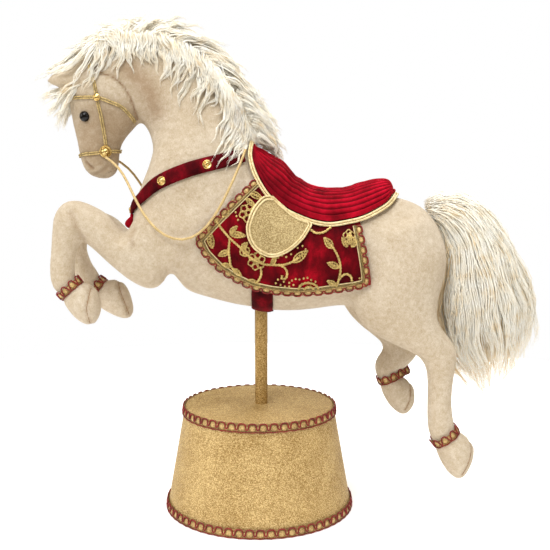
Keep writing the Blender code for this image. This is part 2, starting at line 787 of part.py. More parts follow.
def make_flap(into, skin, side):
    """A half-oval leaf on one side, over the blanket and below the saddle."""
    outline = [Vector((x, min(z, (along(SADDLE_HEM, x * MM) - FLAP_BELOW_HEM) / MM))) for x, z in FLAP]
    middle = Vector(FLAP_MIDDLE)
    bm = bmesh.new()
    layers = []
    for lift in (UPPER_LIFT, UPPER_LIFT + FLAP_THICKNESS):
        rings = []
        for share in (0.0, 0.5, 1.0):
            ring = []
            for spot in outline if share else outline[:1]:
                x, z = middle.lerp(spot, share) * MM
                point, normal = skin.beside(x, z, side)
                ring.append(bm.verts.new(point + normal * lift))
            rings.append(ring)
        layers.append(rings)
    count = len(outline)
    for rings in layers:
        for k in range(count):
            n = (k + 1) % count
            bm.faces.new((rings[0][0], rings[1][k], rings[1][n]))
            bm.faces.new((rings[1][k], rings[2][k], rings[2][n], rings[1][n]))
    for k in range(count):
        n = (k + 1) % count
        bm.faces.new((layers[0][2][k], layers[0][2][n], layers[1][2][n], layers[1][2][k]))
    return as_object(SIDE_NAMES[side] + "_flap", bm, into, GLITTER)


def make_rein(into, skin, side):
    """A cord from the bit ring over the shoulder to the saddle's front, clear of what it lies on."""
    points = spaced(smooth_through(vectors(REIN, side), 6), REIN_POINTS)
    for _ in range(6):
        pushed = []
        for point in points:
            place, normal = skin.nearest(point)
            rise = (point - place).dot(normal)
            pushed.append(place + normal * REIN_LIFT if rise < REIN_LIFT else point)
        inner = [b * 0.6 + (a + c) * 0.2 for a, b, c in zip(pushed, pushed[1:], pushed[2:])]
        points = [pushed[0], *inner, pushed[-1]]
    return tube(SIDE_NAMES[side] + "_rein", into, GOLD_CORD, points, REIN_DIAMETER / 2)


def make_tassel(into):
    bm = spun([(r * MM, -z * MM) for r, z in TASSEL], 10)
    turn = Matrix.Rotation(math.radians(28), 4, "Y")
    bmesh.ops.transform(bm, matrix=Matrix.Translation(TASSEL_TOP) @ turn, verts=bm.verts)
    return as_object("chest_tassel", bm, into, VELVET)


def make_ankles(into, skin):
    for name, place in ANKLES.items():
        band(name + "_ankle_braid", into, BRAID, skin, place, ANKLE_WIDTH, ANKLE_LIFT, 12)


def spun(profile, steps):
    """A bmesh solid of revolution about Z from (radius, height) points that start and end on the axis."""
    bm = bmesh.new()
    verts = [bm.verts.new((r, 0, z)) for r, z in profile]
    edges = [bm.edges.new(pair) for pair in zip(verts, verts[1:])]
    bmesh.ops.spin(bm, geom=verts + edges, axis=(0, 0, 1), cent=(0, 0, 0), steps=steps, angle=2 * math.pi)
    bmesh.ops.remove_doubles(bm, verts=bm.verts, dist=1e-5)
    return bm


def dome(name, into, spec, skin, shape, side, lift):
    """A domed button whose flat back faces the skin; its shape is given for the left side."""
    (x, y, z), radius, height = shape
    point, normal = skin.nearest(Vector((x, -side * y, z)) * MM)
    arc = [math.radians(t) for t in (90, 65, 35, 0)]
    bm = spun([(radius * math.cos(t), height * math.sin(t)) for t in arc] + [(0, 0)], 10)
    turn = normal.to_track_quat("Z", "Y").to_matrix().to_4x4()
    bmesh.ops.transform(bm, matrix=Matrix.Translation(point + normal * lift) @ turn, verts=bm.verts)
    return as_object(name, bm, into, spec)


def make_bridle(into, skin):
    band("noseband", into, GOLD_CORD, skin, NOSEBAND, BRIDLE_WIDTH, NOSEBAND_LIFT, 18)
    strip("browband", into, GOLD_CORD, skin, both_sides(BROWBAND), BRIDLE_WIDTH, 20)
    strip("crownpiece", into, GOLD_CORD, skin, both_sides(CROWNPIECE), BRIDLE_WIDTH, 16)
    for side, label in SIDE_NAMES.items():
        route = smooth_through(vectors(CHEEKPIECE, side), 6)
        strip(label + "_cheekpiece", into, GOLD_CORD, skin, route, BRIDLE_WIDTH, 6)


def make_domes(into, skin):
    over_strap = sum(STRAP) + GAP
    for side, label in SIDE_NAMES.items():
        dome(label + "_eye", into, EYE, skin, EYE_PLACE, side, 2 * GAP)
        dome(label + "_brow_rosette", into, GOLD_METAL, skin, BROW_ROSETTE, side, over_strap)
        dome(label + "_bit_rosette", into, GOLD_METAL, skin, BIT_ROSETTE, side, over_strap + 2 * GAP)
        for number, stud in enumerate(COLLAR_STUDS, 1):
            dome(f"{label}_stud_{number}", into, GOLD_METAL, skin, stud, side, over_strap)
    dome("front_stud", into, GOLD_METAL, skin, FRONT_STUD, LEFT, over_strap)


def make_hair(into, cutters, body):
    """The mane and the tail, hollowed where they lie on the body and on the tack."""
    relief = (HAIR_VOXEL, HAIR_SMOOTHING)
    mane = soft_form("mane", [MANE, FORELOCK], into, FUR, *relief, MANE_TRIANGLES, mane_ripple)
    tail = soft_form("tail", [TAIL], into, FUR, *relief, TAIL_TRIANGLES, tail_ripple)
    helpers = [clearance(body, HAIR_GAP, cutters, 0.5)]
    tail_gap = clearance(body, GAP, cutters)
    cut_by(tail, tail_gap)
    helpers += [clearance(bpy.data.objects[name], GAP, cutters) for name in UNDER_MANE]
    for helper in helpers:
        cut_by(mane, helper)
    keep_largest(mane)
    keep_largest(tail)
    return [*helpers, tail_gap]


def main():
    clear_scene()
    horse = collection("carousel horse")
    cutters = collection("cutters")
    helpers, pole_top = make_stand(horse, cutters)
    body, skin, hole = make_body(horse, cutters, pole_top)
    helpers.append(hole)

    make_saddle(horse, skin)
    make_piping(horse, skin)
    make_blanket(horse, skin)
    for side in SIDE_NAMES:
        make_flap(horse, skin, side)
        make_rein(horse, skin, side)
    strip("collar", horse, VELVET, skin, both_sides(COLLAR), COLLAR_WIDTH, 27, columns=3)
    girth = strip("girth", horse, VELVET, skin, both_sides(GIRTH), GIRTH_WIDTH, 14, columns=3)
    cut_by(girth, hole)
    make_bridle(horse, skin)
    make_domes(horse, skin)
    make_tassel(horse)
    make_ankles(horse, skin)
    helpers += make_hair(horse, cutters, body)

    for helper in helpers:
        helper.hide_render = True
        helper.display_type = "WIRE"


main()
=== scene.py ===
"""Looks of a plush carousel horse on a pole and a tapered drum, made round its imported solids.

Metres, +Z up. The horse faces -X and its left side is at -Y. Lists of places are in
millimetres, as (x, z) in the side view or as (x, y, z) for the horse's left side.
"""

import math
import random

import bmesh
import bpy
import numpy as np
from mathutils import Matrix, Vector, noise
from mathutils.bvhtree import BVHTree
from mathutils.geometry import barycentric_transform
from numpy.linalg import norm


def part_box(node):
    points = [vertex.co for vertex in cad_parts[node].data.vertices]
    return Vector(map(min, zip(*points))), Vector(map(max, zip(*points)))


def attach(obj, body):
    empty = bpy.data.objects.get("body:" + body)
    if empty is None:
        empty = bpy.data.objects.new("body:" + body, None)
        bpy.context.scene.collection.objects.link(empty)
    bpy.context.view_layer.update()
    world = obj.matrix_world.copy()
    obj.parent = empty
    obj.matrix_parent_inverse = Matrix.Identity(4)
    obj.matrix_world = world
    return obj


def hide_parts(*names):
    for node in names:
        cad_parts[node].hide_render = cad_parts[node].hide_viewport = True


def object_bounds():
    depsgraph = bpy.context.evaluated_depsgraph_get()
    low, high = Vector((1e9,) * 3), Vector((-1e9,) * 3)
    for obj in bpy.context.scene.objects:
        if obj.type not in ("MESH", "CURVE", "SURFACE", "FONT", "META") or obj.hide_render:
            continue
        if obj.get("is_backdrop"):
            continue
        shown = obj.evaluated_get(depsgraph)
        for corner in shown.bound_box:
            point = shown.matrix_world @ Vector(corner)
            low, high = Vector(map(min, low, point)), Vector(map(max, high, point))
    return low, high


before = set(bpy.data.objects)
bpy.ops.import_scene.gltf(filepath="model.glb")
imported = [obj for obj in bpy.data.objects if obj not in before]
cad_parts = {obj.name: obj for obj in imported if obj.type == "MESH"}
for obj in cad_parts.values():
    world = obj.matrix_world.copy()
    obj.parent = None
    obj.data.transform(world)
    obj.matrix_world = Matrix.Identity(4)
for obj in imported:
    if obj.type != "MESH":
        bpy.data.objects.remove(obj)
CAD_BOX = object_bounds()

MM = 0.001
LEFT, RIGHT = -1, 1
# How far from the middle a ray starts that comes from outside, and how high the barrel's middle is
OUTSIDE = 0.3
BARREL_HEIGHT = 0.262
SIDES = {LEFT: "left", RIGHT: "right"}
DICE = random.Random(11)
DRAW = np.random.default_rng(5)


# ---- camera
def link(obj):
    bpy.context.scene.collection.objects.link(obj)


def make_camera():
    data = bpy.data.cameras.new("camera")
    data.sensor_width = 36
    data.lens = 55.64
    camera = bpy.data.objects.new("camera", data)
    camera.location = (0.016, -0.85, 0.333)
    camera.rotation_euler = (math.radians(83.5), 0, 0)
    link(camera)
    bpy.context.scene.camera = camera


make_camera()


# ---- shader maths
def rgba(*shades):
    """A display colour, 0 to 255 a channel, as linear light."""
    shares = [shade / 255 for shade in shades]
    return (*(c / 12.92 if c <= 0.04045 else ((c + 0.055) / 1.055) ** 2.4 for c in shares), 1)


class Value:
    """A shader socket that takes part in Python expressions."""

    def __init__(self, paint, socket):
        self.paint = paint
        self.socket = socket

    def maths(self, operation, *others):
        inputs = dict(enumerate((self, *others)))
        return self.paint.node("ShaderNodeMath", {"operation": operation}, inputs)

    def __add__(self, other):
        return self.maths("ADD", other)

    def __mul__(self, other):
        return self.maths("MULTIPLY", other)

    def __sub__(self, other):
        return self.maths("SUBTRACT", other)

    def __rsub__(self, other):
        return (self * -1.0) + other

    __radd__ = __add__
    __rmul__ = __mul__


class Paint:
    """A Principled material that is built up from expressions."""

    def __init__(self, name, constants):
        self.made = bpy.data.materials.new(name)
        self.made.use_nodes = True
        self.tree = self.made.node_tree
        self.shader = self.tree.nodes["Principled BSDF"]
        for label, value in constants.items():
            self.shader.inputs[label].default_value = value

    def node(self, kind, settings=None, inputs=None, output=0):
        """Adds one node; settings are set first, then the values or links of its sockets."""
        made = self.tree.nodes.new(kind)
        for key, value in (settings or {}).items():
            if key == "stops":
                self.set_stops(made.color_ramp, value)
            else:
                setattr(made, key, value)
        for key, value in (inputs or {}).items():
            self.feed(made.inputs[key], value)
        return Value(self, made.outputs[output])

    def set_stops(self, ramp, stops):
        """Gives a ramp its stops: a place and a display colour each."""
        while len(ramp.elements) < len(stops):
            ramp.elements.new(1.0)
        for element, (place, shades) in zip(ramp.elements, stops):
            element.position = place
            element.color = rgba(*shades)

    def feed(self, socket, value):
        if isinstance(value, Value):
            self.tree.links.new(value.socket, socket)
        else:
            socket.default_value = value

    def set(self, label, value):
        self.feed(self.shader.inputs[label], value)

    def place(self, scale=(1, 1, 1)):
        spot = self.node("ShaderNodeTexCoord", output=3)
        return self.node("ShaderNodeMapping", {}, {"Vector": spot, "Scale": scale})

    def cloud(self, place, scale, detail, rough=0.5):
        inputs = {"Vector": place, "Scale": scale, "Detail": detail, "Roughness": rough}
        return self.node("ShaderNodeTexNoise", {}, inputs)

    def marked(self, name):
        """What a mesh's own attribute says at each place."""
        return self.node("ShaderNodeAttribute", {"attribute_name": name}, output=2)

    def between(self, operation, first, second):
        """Maths on two vectors."""
        return self.node("ShaderNodeVectorMath", {"operation": operation}, {0: first, 1: second})

    def ramp(self, share, stops):
        return self.node("ShaderNodeValToRGB", {"stops": stops}, {"Fac": share})

    def blend(self, share, low, high, kind="MIX"):
        settings = {"data_type": "RGBA", "blend_type": kind}
        return self.node("ShaderNodeMix", settings, {0: share, 6: low, 7: high}, 2)

    def bump(self, height, distance, strength):
        inputs = {"Height": height, "Distance": distance, "Strength": strength}
        self.set("Normal", self.node("ShaderNodeBump", {}, inputs))


# The middle of the face, and how far from it the painted shade on the head starts and is full
FACE, FACE_EDGE, FACE_FULL = (-0.149, 0, 0.376), 0.05, 0.026


def plush_finish():
    """Short brushed pile: a mottled cream with a fine fuzz, with painted shade on the head and in the
    creases.
    """
    paint = Paint("cream plush pile", {
        "Roughness": 0.95, "Sheen Weight": 0.35, "Sheen Roughness": 0.5,
        "Sheen Tint": rgba(255, 244, 226), "Specular IOR Level": 0.15,
    })
    spot = paint.place()
    mottle = paint.cloud(spot, 210, 4, 0.65)
    patches = paint.cloud(spot, 32, 2)
    fuzz = paint.cloud(paint.place((1, 1, 0.45)), 1500, 3, 0.65)
    tone = mottle * 0.36 + patches * 0.16 + fuzz * 0.4 + 0.04
    pile = paint.ramp(tone, [(0.32, (170, 148, 118)), (0.5, (198, 182, 158)), (0.66, (221, 210, 194))])
    # Painted shade: the whole head is multiplied darker, fading out away from the middle of the face
    away = paint.node("ShaderNodeVectorMath", {"operation": "DISTANCE"}, {0: spot, 1: FACE}, 1)
    face = paint.node(
        "ShaderNodeMapRange", {"interpolation_type": "SMOOTHSTEP"},
        {"Value": away, "From Min": FACE_EDGE, "From Max": FACE_FULL},
    )
    pile = paint.blend(face, pile, (0.68, 0.61, 0.54, 1), "MULTIPLY")
    # Painted shade in the seams, folds, nostril and throat, and a painted shadow behind the jowl
    crease = paint.marked("crease")
    paint.set("Base Color", paint.blend(crease, pile, (0.55, 0.43, 0.33, 1), "MULTIPLY"))
    paint.bump(fuzz * 0.8 + mottle * 0.9, 0.0012, 0.9)
    return paint.made


def fur_finish(name, root, middle, tip, roughness=0.6):
    """Long pile, in which every lock and every strand has its own tone."""
    paint = Paint(name, {"Roughness": roughness, "Specular IOR Level": 0.1})
    strand = paint.node("ShaderNodeNewGeometry", output=8)
    lock = paint.cloud(paint.place(), 95, 2)
    tone = strand * 0.36 + lock * 0.9 - 0.12
    paint.set("Base Color", paint.ramp(tone, [(0.12, root), (0.42, middle), (0.8, tip)]))
    return paint.made


def velvet_finish(name, deep, middle, bright, scale, valley=None, sheen=0.22):
    """Velvet with patches of brushed nap, and painted shade where an attribute marks it."""
    paint = Paint(name, {
        "Roughness": 0.85, "Specular IOR Level": 0.08, "Sheen Weight": sheen,
        "Sheen Roughness": 0.3, "Sheen Tint": rgba(255, 20, 50),
    })
    nap = paint.cloud(paint.place((1, 1, 0.6)), scale, 3, 0.6)
    pile = paint.cloud(paint.place(), 1400, 2, 0.6)
    tone = nap * 0.8 + pile * 0.2
    cloth = paint.ramp(tone, [(0.36, deep), (0.52, middle), (0.68, bright)])
    if valley:
        # Painted shade: darker towards a deep red where the attribute is high
        cloth = paint.blend(paint.marked(valley), cloth, rgba(66, 0, 8))
    paint.set("Base Color", cloth)
    paint.bump(pile * 0.6 + nap * 0.5, 0.0006, 0.7)
    return paint.made


def cord_finish(name, dark, light, metallic, roughness, scale=900):
    """Twisted metallic thread."""
    paint = Paint(name, {"Metallic": metallic, "Roughness": roughness})
    spot = paint.place()
    thread = paint.cloud(spot, scale, 2, 0.6)
    patch = paint.cloud(spot, 160, 2)
    paint.set("Base Color", paint.ramp(thread * 0.7 + patch * 0.3, [(0.36, dark), (0.62, light)]))
    paint.bump(thread, 0.0005, 0.9)
    return paint.made


def metal_finish():
    """Polished gold plate, a little worn."""
    paint = Paint("polished gold", {"Metallic": 1.0})
    wear = paint.cloud(paint.place(), 300, 3)
    paint.set("Base Color", paint.ramp(wear, [(0.3, (180, 142, 72)), (0.7, (234, 208, 142))]))
    paint.set("Roughness", wear * 0.25 + 0.1)
    return paint.made


def glitter_finish(name, dark, middle, light, flake):
    """Fine glitter: each flake has its own tone and leans its own way."""
    paint = Paint(name, {"Metallic": 0.1, "Roughness": 0.55, "Specular IOR Level": 0.12})
    spot = paint.place()
    flakes = paint.node("ShaderNodeTexVoronoi", {"feature": "F1"}, {"Vector": spot, "Scale": flake}, 1)
    tone = paint.node("ShaderNodeSeparateColor", {}, {0: flakes})
    cloudy = paint.cloud(spot, 26, 3, 0.6)
    paint.set("Base Color", paint.ramp(tone * 0.72 + cloudy * 0.5 - 0.1, [
        (0.12, dark), (0.45, middle), (0.86, light),
    ]))
    lean = paint.between("SUBTRACT", flakes, (0.5, 0.5, 0.5))
    lean = paint.between("MULTIPLY", lean, (0.55, 0.55, 0.55))
    facing = paint.node("ShaderNodeNewGeometry", output=1)
    paint.set("Normal", paint.between("NORMALIZE", paint.between("ADD", facing, lean), (0, 0, 0)))
    return paint.made


def glass_finish():
    return Paint("black glass eye", {
        "Base Color": (0.002, 0.0015, 0.0015, 1), "Roughness": 0.07, "Specular IOR Level": 0.28,
    }).made


PLUSH = plush_finish()
FUR = fur_finish("ivory long pile", (234, 209, 164), (252, 246, 231), (255, 254, 248))
# Painted shade: a darker copy of the fur, for the tail's inner coat
SHADED_FUR = fur_finish("ivory pile with painted shade", (220, 188, 138), (242, 218, 176), (252, 238, 208))
# Painted shade: the mass under the strands is darker, so that it shows as shade between the locks
FUR_BASE = fur_finish("ivory pile backing with painted shade", (228, 206, 166), (242, 226, 194), (250, 238, 214), 0.8)
VELVET = velvet_finish("crimson velvet", (54, 0, 5), (98, 2, 13), (166, 6, 29), 54)
STRAP_VELVET = velvet_finish("maroon velvet", (44, 0, 5), (78, 2, 10), (124, 4, 22), 80, sheen=0.07)
SEAT = velvet_finish("channelled velvet", (94, 0, 10), (154, 4, 27), (200, 12, 44), 45, "groove")
SATIN_CORD = cord_finish("satin gold cord", (196, 172, 120), (232, 214, 166), 0.1, 0.45, 420)
BRIDLE_CORD = cord_finish("antique gold cord", (122, 100, 54), (222, 196, 134), 0.25, 0.45)
REIN_CORD = cord_finish("rein cord", (174, 146, 92), (214, 188, 134), 0.15, 0.5)
EMBROIDERY = cord_finish("gold embroidery", (108, 78, 26), (234, 206, 126), 0.22, 0.45, 1300)
OLIVE_CORD = cord_finish("olive gold cord", (70, 58, 24), (140, 120, 66), 0.2, 0.5)
BRAID_RED = cord_finish("braid red", (84, 6, 8), (146, 28, 20), 0.05, 0.6)
BRAID_GOLD = cord_finish("braid gold", (118, 86, 40), (222, 190, 124), 0.15, 0.5, 1300)
BRAID_BACK = cord_finish("braid ribbon", (96, 66, 30), (156, 120, 66), 0.15, 0.55)
# Painted shade: a darker cord laid in the seams' folds
SEAM_SHADE_CORD = cord_finish("seam shade cord", (122, 90, 60), (164, 130, 94), 0, 0.8)
METAL = metal_finish()
GLITTER = glitter_finish("gold glitter", (130, 101, 54), (168, 138, 86), (215, 188, 134), 1500)
FLAP_GLITTER = glitter_finish("pale gold glitter", (128, 108, 68), (158, 136, 92), (200, 180, 134), 1400)
GILT = glitter_finish("gilt pole", (112, 84, 40), (156, 124, 70), (204, 172, 114), 1500)
GLASS = glass_finish()


# ---- pieces
def piece(obj, finish, slot, node):
    """Finishes an object: its material, its body and the node it stands for; the slot is not used."""
    if obj.name not in bpy.context.scene.collection.objects:
        link(obj)
    obj.data.materials.append(finish)
    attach(obj, "root")
    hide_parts(node)
    return obj


def mesh_object(name, bm):
    mesh = bpy.data.meshes.new(name)
    bm.to_mesh(mesh)
    bm.free()
    mesh.shade_smooth()
    obj = bpy.data.objects.new(name, mesh)
    link(obj)
    return obj


def node_mesh(name):
    """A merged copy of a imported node's mesh."""
    bm = bmesh.new()
    bm.from_mesh(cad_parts[name].data)
    bmesh.ops.remove_doubles(bm, verts=bm.verts, dist=1e-6)
    return bm


def modify(obj, kind, **settings):
    made = obj.modifiers.new(kind.lower(), kind)
    for key, value in settings.items():
        setattr(made, key, value)


def settle(obj):
    """Applies the object's modifiers."""
    graph = bpy.context.evaluated_depsgraph_get()
    mesh = bpy.data.meshes.new_from_object(obj.evaluated_get(graph))
    obj.modifiers.clear()
    obj.data = mesh
    mesh.shade_smooth()
    return obj


def rows_of(items, label):
    """A vector of every item, such as the place of a mesh's corners, in rows."""
    rows = np.zeros(len(items) * 3, np.float32)
    items.foreach_get(label, rows)
    return rows.reshape(-1, 3).astype(float)


def unit(rows):
    """Rows of vectors, each one made a unit long."""
    return rows / norm(rows, axis=1)[:, None]


def move_to(mesh, spots):
    mesh.vertices.foreach_set("co", spots.astype(np.float32).ravel())
    mesh.update()


def through(points, steps):
    """Points of a smooth curve through the given ones, steps to each span."""
    points = np.asarray(points, float)
    ends = np.vstack([2 * points[0] - points[1], points, 2 * points[-1] - points[-2]])
    found = []
    for a, b, c, d in zip(ends, ends[1:], ends[2:], ends[3:]):
        for t in np.arange(steps) / steps:
            square = 2 * a - 5 * b + 4 * c - d
            cube = 3 * b - a - 3 * c + d
            found.append((2 * b + (c - a) * t + square * t**2 + cube * t**3) / 2)
    return np.array([*found, points[-1]])


def distances(points):
    """How far along a line each of its points is."""
    return np.r_[0, np.cumsum(norm(np.diff(points, axis=0), axis=1))]


def sampled(at, marks, rows):
    """What rows of numbers come to at some places, where marks are the rows' own places."""
    return np.stack([np.interp(at, marks, column) for column in rows.T], -1)


def spaced(points, count):
    """The given number of points at equal steps along a line."""
    points = np.asarray(points, float)
    lengths = distances(points)
    return sampled(np.linspace(0, lengths[-1], count), lengths, points)


def ease(rows, times):
    """Smooths rows of numbers where they are, between fixed ends."""
    for _ in range(times):
        rows[1:-1] = (rows[:-2] + rows[1:-1] * 2 + rows[2:]) / 4


def length_of(points):
    return float(norm(np.diff(np.asarray(points), axis=0), axis=1).sum())


def smooth_line(line):
    """A function that gives a line's second number at its first, by a smooth curve."""
    fine = through(line, 6)
    return lambda at: float(np.interp(at, fine[:, 0], fine[:, 1]))


def cords(name, lines, radius, sides=6, closed=False, radii=None):
    """One object of round cords: a POLY spline through each line of points."""
    curve = bpy.data.curves.new(name, "CURVE")
    curve.dimensions = "3D"
    curve.bevel_depth = radius
    curve.bevel_resolution = (sides - 4) // 2
    curve.use_fill_caps = not closed
    for line in lines:
        line = np.asarray(line, float)
        spline = curve.splines.new("POLY")
        spline.points.add(len(line) - 1)
        spline.points.foreach_set("co", np.c_[line, np.ones(len(line))].ravel())
        if radii is not None:
            spline.points.foreach_set("radius", radii(len(line)))
        spline.use_cyclic_u = closed
        spline.use_smooth = True
    return bpy.data.objects.new(name, curve)


def corded(name, node, finish, lines, radius, sides=6, slot="gold_cord", **shape):
    """A finished piece of round cords."""
    return piece(cords(name, lines, radius, sides, **shape), finish, slot, node)


# ---- the plush body
# Seams and folds, as side-view lines: the line, the side it is on (or None for both), its
# width, its depth, how near the middle it may come and how dark the shade painted along it is
SEAMS = [
    ([(-158, 440), (-150, 433), (-139, 429), (-129, 420), (-123, 408), (-120, 397), (-118, 388)],
     None, 1.7, 1.7, 8, 0.75),
    # A painted shadow behind the jowl: no depth, only painted shade
    ([(-124, 437), (-113, 426), (-104, 412), (-99, 397)], None, 12, 0.0, 8, 0.7),
    ([(-118, 284), (-121, 277), (-118, 270)], None, 2.6, 1.8, 12, 0.4),
    ([(-66, 268), (-72, 260), (-76, 250), (-86, 238)], None, 5.0, 1.3, 22, 0.12),
    ([(-177, 300), (-174, 292), (-171, 282), (-167, 275)], None, 3.6, 2.0, 20, 0.4),
    ([(-161, 236), (-162, 222), (-164, 209), (-163, 198), (-163, 192)], LEFT, 1.5, 1.2, 30, 0.6),
    ([(-148, 228), (-142, 212), (-139, 204), (-136, 193)], RIGHT, 1.5, 1.2, 0, 0.6),
    ([(201, 86), (207, 81), (208, 72), (205, 58), (199, 45)], LEFT, 1.5, 1.1, 30, 0.5),
    ([(159, 117), (158, 102), (153, 90)], RIGHT, 1.5, 1.1, 0, 0.5),
    ([(-169, 349), (-166, 345.5), (-162.5, 342.5)], None, 1.7, 2.2, 5, 1.0),
    ([(-170, 338), (-166, 336), (-160, 337), (-153, 340), (-148, 344)], None, 1.6, 0.9, 3, 0.45),
    ([(-107, 392), (-102, 395), (-95, 398)], None, 2.2, 1.4, 8, 0.35),
    ([(-105, 385), (-100, 388), (-93, 390)], None, 2.2, 1.4, 8, 0.35),
    ([(-106, 377), (-100, 379), (-94, 379)], None, 2.4, 0.7, 8, 0.12),
]
# The sewn ones among them, and the rays across the figure that find both faces of such a seam
SEWN = [SEAMS[0], *SEAMS[5:9]]
SEAM_RAYS = {
    None: ((-OUTSIDE, 1), (OUTSIDE, -1)), LEFT: ((-OUTSIDE, 1), (0, -1)), RIGHT: ((OUTSIDE, -1), (0, 1)),
}
NOSTRIL_RIM = ((-164, 349.5), 3.6, 0.9)
# Places in the side view that keep their edges when the pile softens the form, and how wide
EDGED = [((-195, 425), 14), ((-160, 194), 15), ((-139, 192), 13), ((197, 44), 17), ((148, 88), 14)]
# The ears: their axis, the heights and distances aside between which their shaping sets in, in
# millimetres, where it starts towards their tips and how far on it is full
EAR_AXIS = 425 * MM
EAR_HEIGHTS, EAR_ASIDE = (405, 415), (4, 8)
EAR_START, EAR_LENGTH = -180 * MM, 17 * MM
# Where the form is pushed up or down: a middle in the side view, how far each way it reaches
# (forwards, backwards, down and up) and the lift, for the chest's fold and behind the elbow
FOLDS = [((-129, 292), (14, 10, 22, 9), -14), ((-86, 230), (9, 11, 14, 16), 10)]
# A braid's middle, the way the leg runs through it and how far it draws the leg in
ANKLES = {
    "left_fore": ((-184, -32, 226), (0.67, 0, -0.743), 0.2),
    "right_fore": ((-171.5, 32, 216), (0.85, 0, -0.53), 0.15),
    "left_hind": ((181.5, -36, 80), (0.56, 0, -0.83), 0.14),
    "right_hind": ((134.5, 36, 122.5), (0.39, 0, -0.92), 0.2),
}


def near_line(flat, line):
    """How far each place in the side view is from a line."""
    line = through(np.array(line, float) * MM, 5)
    best = np.full(len(flat), 1.0)
    for a, b in zip(line, line[1:]):
        run = b - a
        share = np.clip((flat - a) @ run / (run @ run), 0, 1)
        best = np.minimum(best, norm(flat - a - share[:, None] * run, axis=1))
    return best


def shape_ears(spots):
    """Draws the ears' tips forwards and opens them up and down from their axis."""
    aside, height = np.abs(spots[:, 1]) / MM, spots[:, 2] / MM
    ear = np.interp(height, EAR_HEIGHTS, (0, 1)) * np.interp(aside, EAR_ASIDE, (0, 1))
    tip = ear * np.clip((EAR_START - spots[:, 0]) / EAR_LENGTH, 0, 1)
    spots[:, 0] -= 5.5 * MM * tip
    spots[:, 2] += (spots[:, 2] - EAR_AXIS) * np.where(spots[:, 2] > EAR_AXIS, 1.3, 0.6) * tip


def fold(spots):
    """Pushes the form up or down at its folds."""
    for middle, (front, back, down, up), lift in FOLDS:
        run, rise = (spots[:, [0, 2]] / MM - middle).T
        gap = (run / np.where(run < 0, front, back)) ** 2 + (rise / np.where(rise < 0, down, up)) ** 2
        spots[:, 2] += lift * MM * np.exp(-gap)


def draw_in_ankles(spots):
    """Narrows each leg where its braid goes round it."""
    for middle, axis, share in ANKLES.values():
        offset = spots - np.array(middle) * MM
        axis = np.array(axis) / norm(axis)
        along = offset @ axis
        radial = offset - along[:, None] * axis
        near = norm(radial, axis=1) < 22 * MM
        spots -= radial * (share * near * np.exp(-((along / (7 * MM)) ** 2)))[:, None]


def seam_press_and_shade(spots):
    """How far the seams press each place in, and how dark the shade painted in them is."""
    press, dark = np.zeros(len(spots)), np.zeros(len(spots))
    for line, side, width, depth, middle, painted_shade in SEAMS:
        reach = 3 * width * MM
        ends = np.array(line, float) * MM
        low, high = ends.min(0) - reach, ends.max(0) + reach
        flat = spots[:, [0, 2]]
        close = ((flat > low) & (flat < high)).all(1) & (np.abs(spots[:, 1]) > middle * MM)
        if side:
            close &= spots[:, 1] * side > 0
        share = np.exp(-((near_line(flat[close], line) / (width * MM)) ** 2))
        press[close] += share * depth * MM
        dark[close] = np.maximum(dark[close], share * painted_shade)
    centre, size, height = NOSTRIL_RIM
    gap = norm(spots[:, [0, 2]] - np.array(centre) * MM, axis=1)
    press -= height * MM * np.exp(-((gap / (size * MM)) ** 2)) * (np.abs(spots[:, 1]) > 5 * MM)
    return press, dark


def make_body():
    """The plush skin: one soft form, kept crisp where it is edged, then shaped and seamed."""
    obj = mesh_object("plush_body", node_mesh("horse_body"))
    modify(obj, "SUBSURF", levels=1, render_levels=1)
    modify(obj, "REMESH", mode="VOXEL", voxel_size=2.3 * MM)
    modify(obj, "SMOOTH", factor=0.5, iterations=2)
    crisp = rows_of(settle(obj).data.vertices, "co")
    modify(obj, "SMOOTH", factor=0.5, iterations=12)
    modify(obj, "DISPLACE", strength=0.45 * MM, mid_level=0)
    mesh = settle(obj).data
    spots = rows_of(mesh.vertices, "co")
    for middle, size in EDGED:
        away = norm(spots[:, [0, 2]] / MM - middle, axis=1) / size
        spots += (crisp - spots) * np.exp(-(away**4))[:, None]
    shape_ears(spots)
    fold(spots)
    draw_in_ankles(spots)
    move_to(mesh, spots)
    normals = rows_of(mesh.vertex_normals, "vector")
    press, dark = seam_press_and_shade(spots)
    move_to(mesh, spots - normals * press[:, None])
    # Stores the painted shade of the seams and folds for the plush's colour
    mesh.attributes.new("crease", "FLOAT", "POINT").data.foreach_set("value", dark)
    return piece(obj, PLUSH, "cream_plush", "horse_body")


class Skin:
    """A surface that is asked where a point or a ray meets it."""

    def __init__(self, *objects):
        self.spots, self.normals, self.faces = [], [], []
        for obj in objects:
            first = len(self.spots)
            self.spots += [v.co.copy() for v in obj.data.vertices]
            self.normals += [n.vector.copy() for n in obj.data.vertex_normals]
            self.faces += [tuple(first + i for i in p.vertices) for p in obj.data.polygons]
        self.tree = BVHTree.FromPolygons(self.spots, self.faces)

    def soft(self, place, face):
        corners = self.faces[face][:3]
        spots = [self.spots[i] for i in corners]
        return barycentric_transform(place, *spots, *[self.normals[i] for i in corners]).normalized()

    def nearest(self, point):
        place, _, face, _ = self.tree.find_nearest(Vector(point))
        return np.array(place), np.array(self.soft(place, face))

    def hit(self, start, way):
        """Where a ray meets the surface, and the normal there, or None."""
        place, _, face, _ = self.tree.ray_cast(Vector(start), Vector(way))
        return None if place is None else (np.array(place), np.array(self.soft(place, face)))

    def beside(self, x, z, side):
        """The surface on the LEFT or RIGHT at (x, z) in the side view, in metres, or None."""
        return self.hit((x, side * OUTSIDE, z), (0, -side, 0))

    def above(self, x, z, side, lift):
        """The place at a lift over the surface at (x, z) in the side view."""
        place, normal = self.beside(x, z, side)
        return place + normal * lift


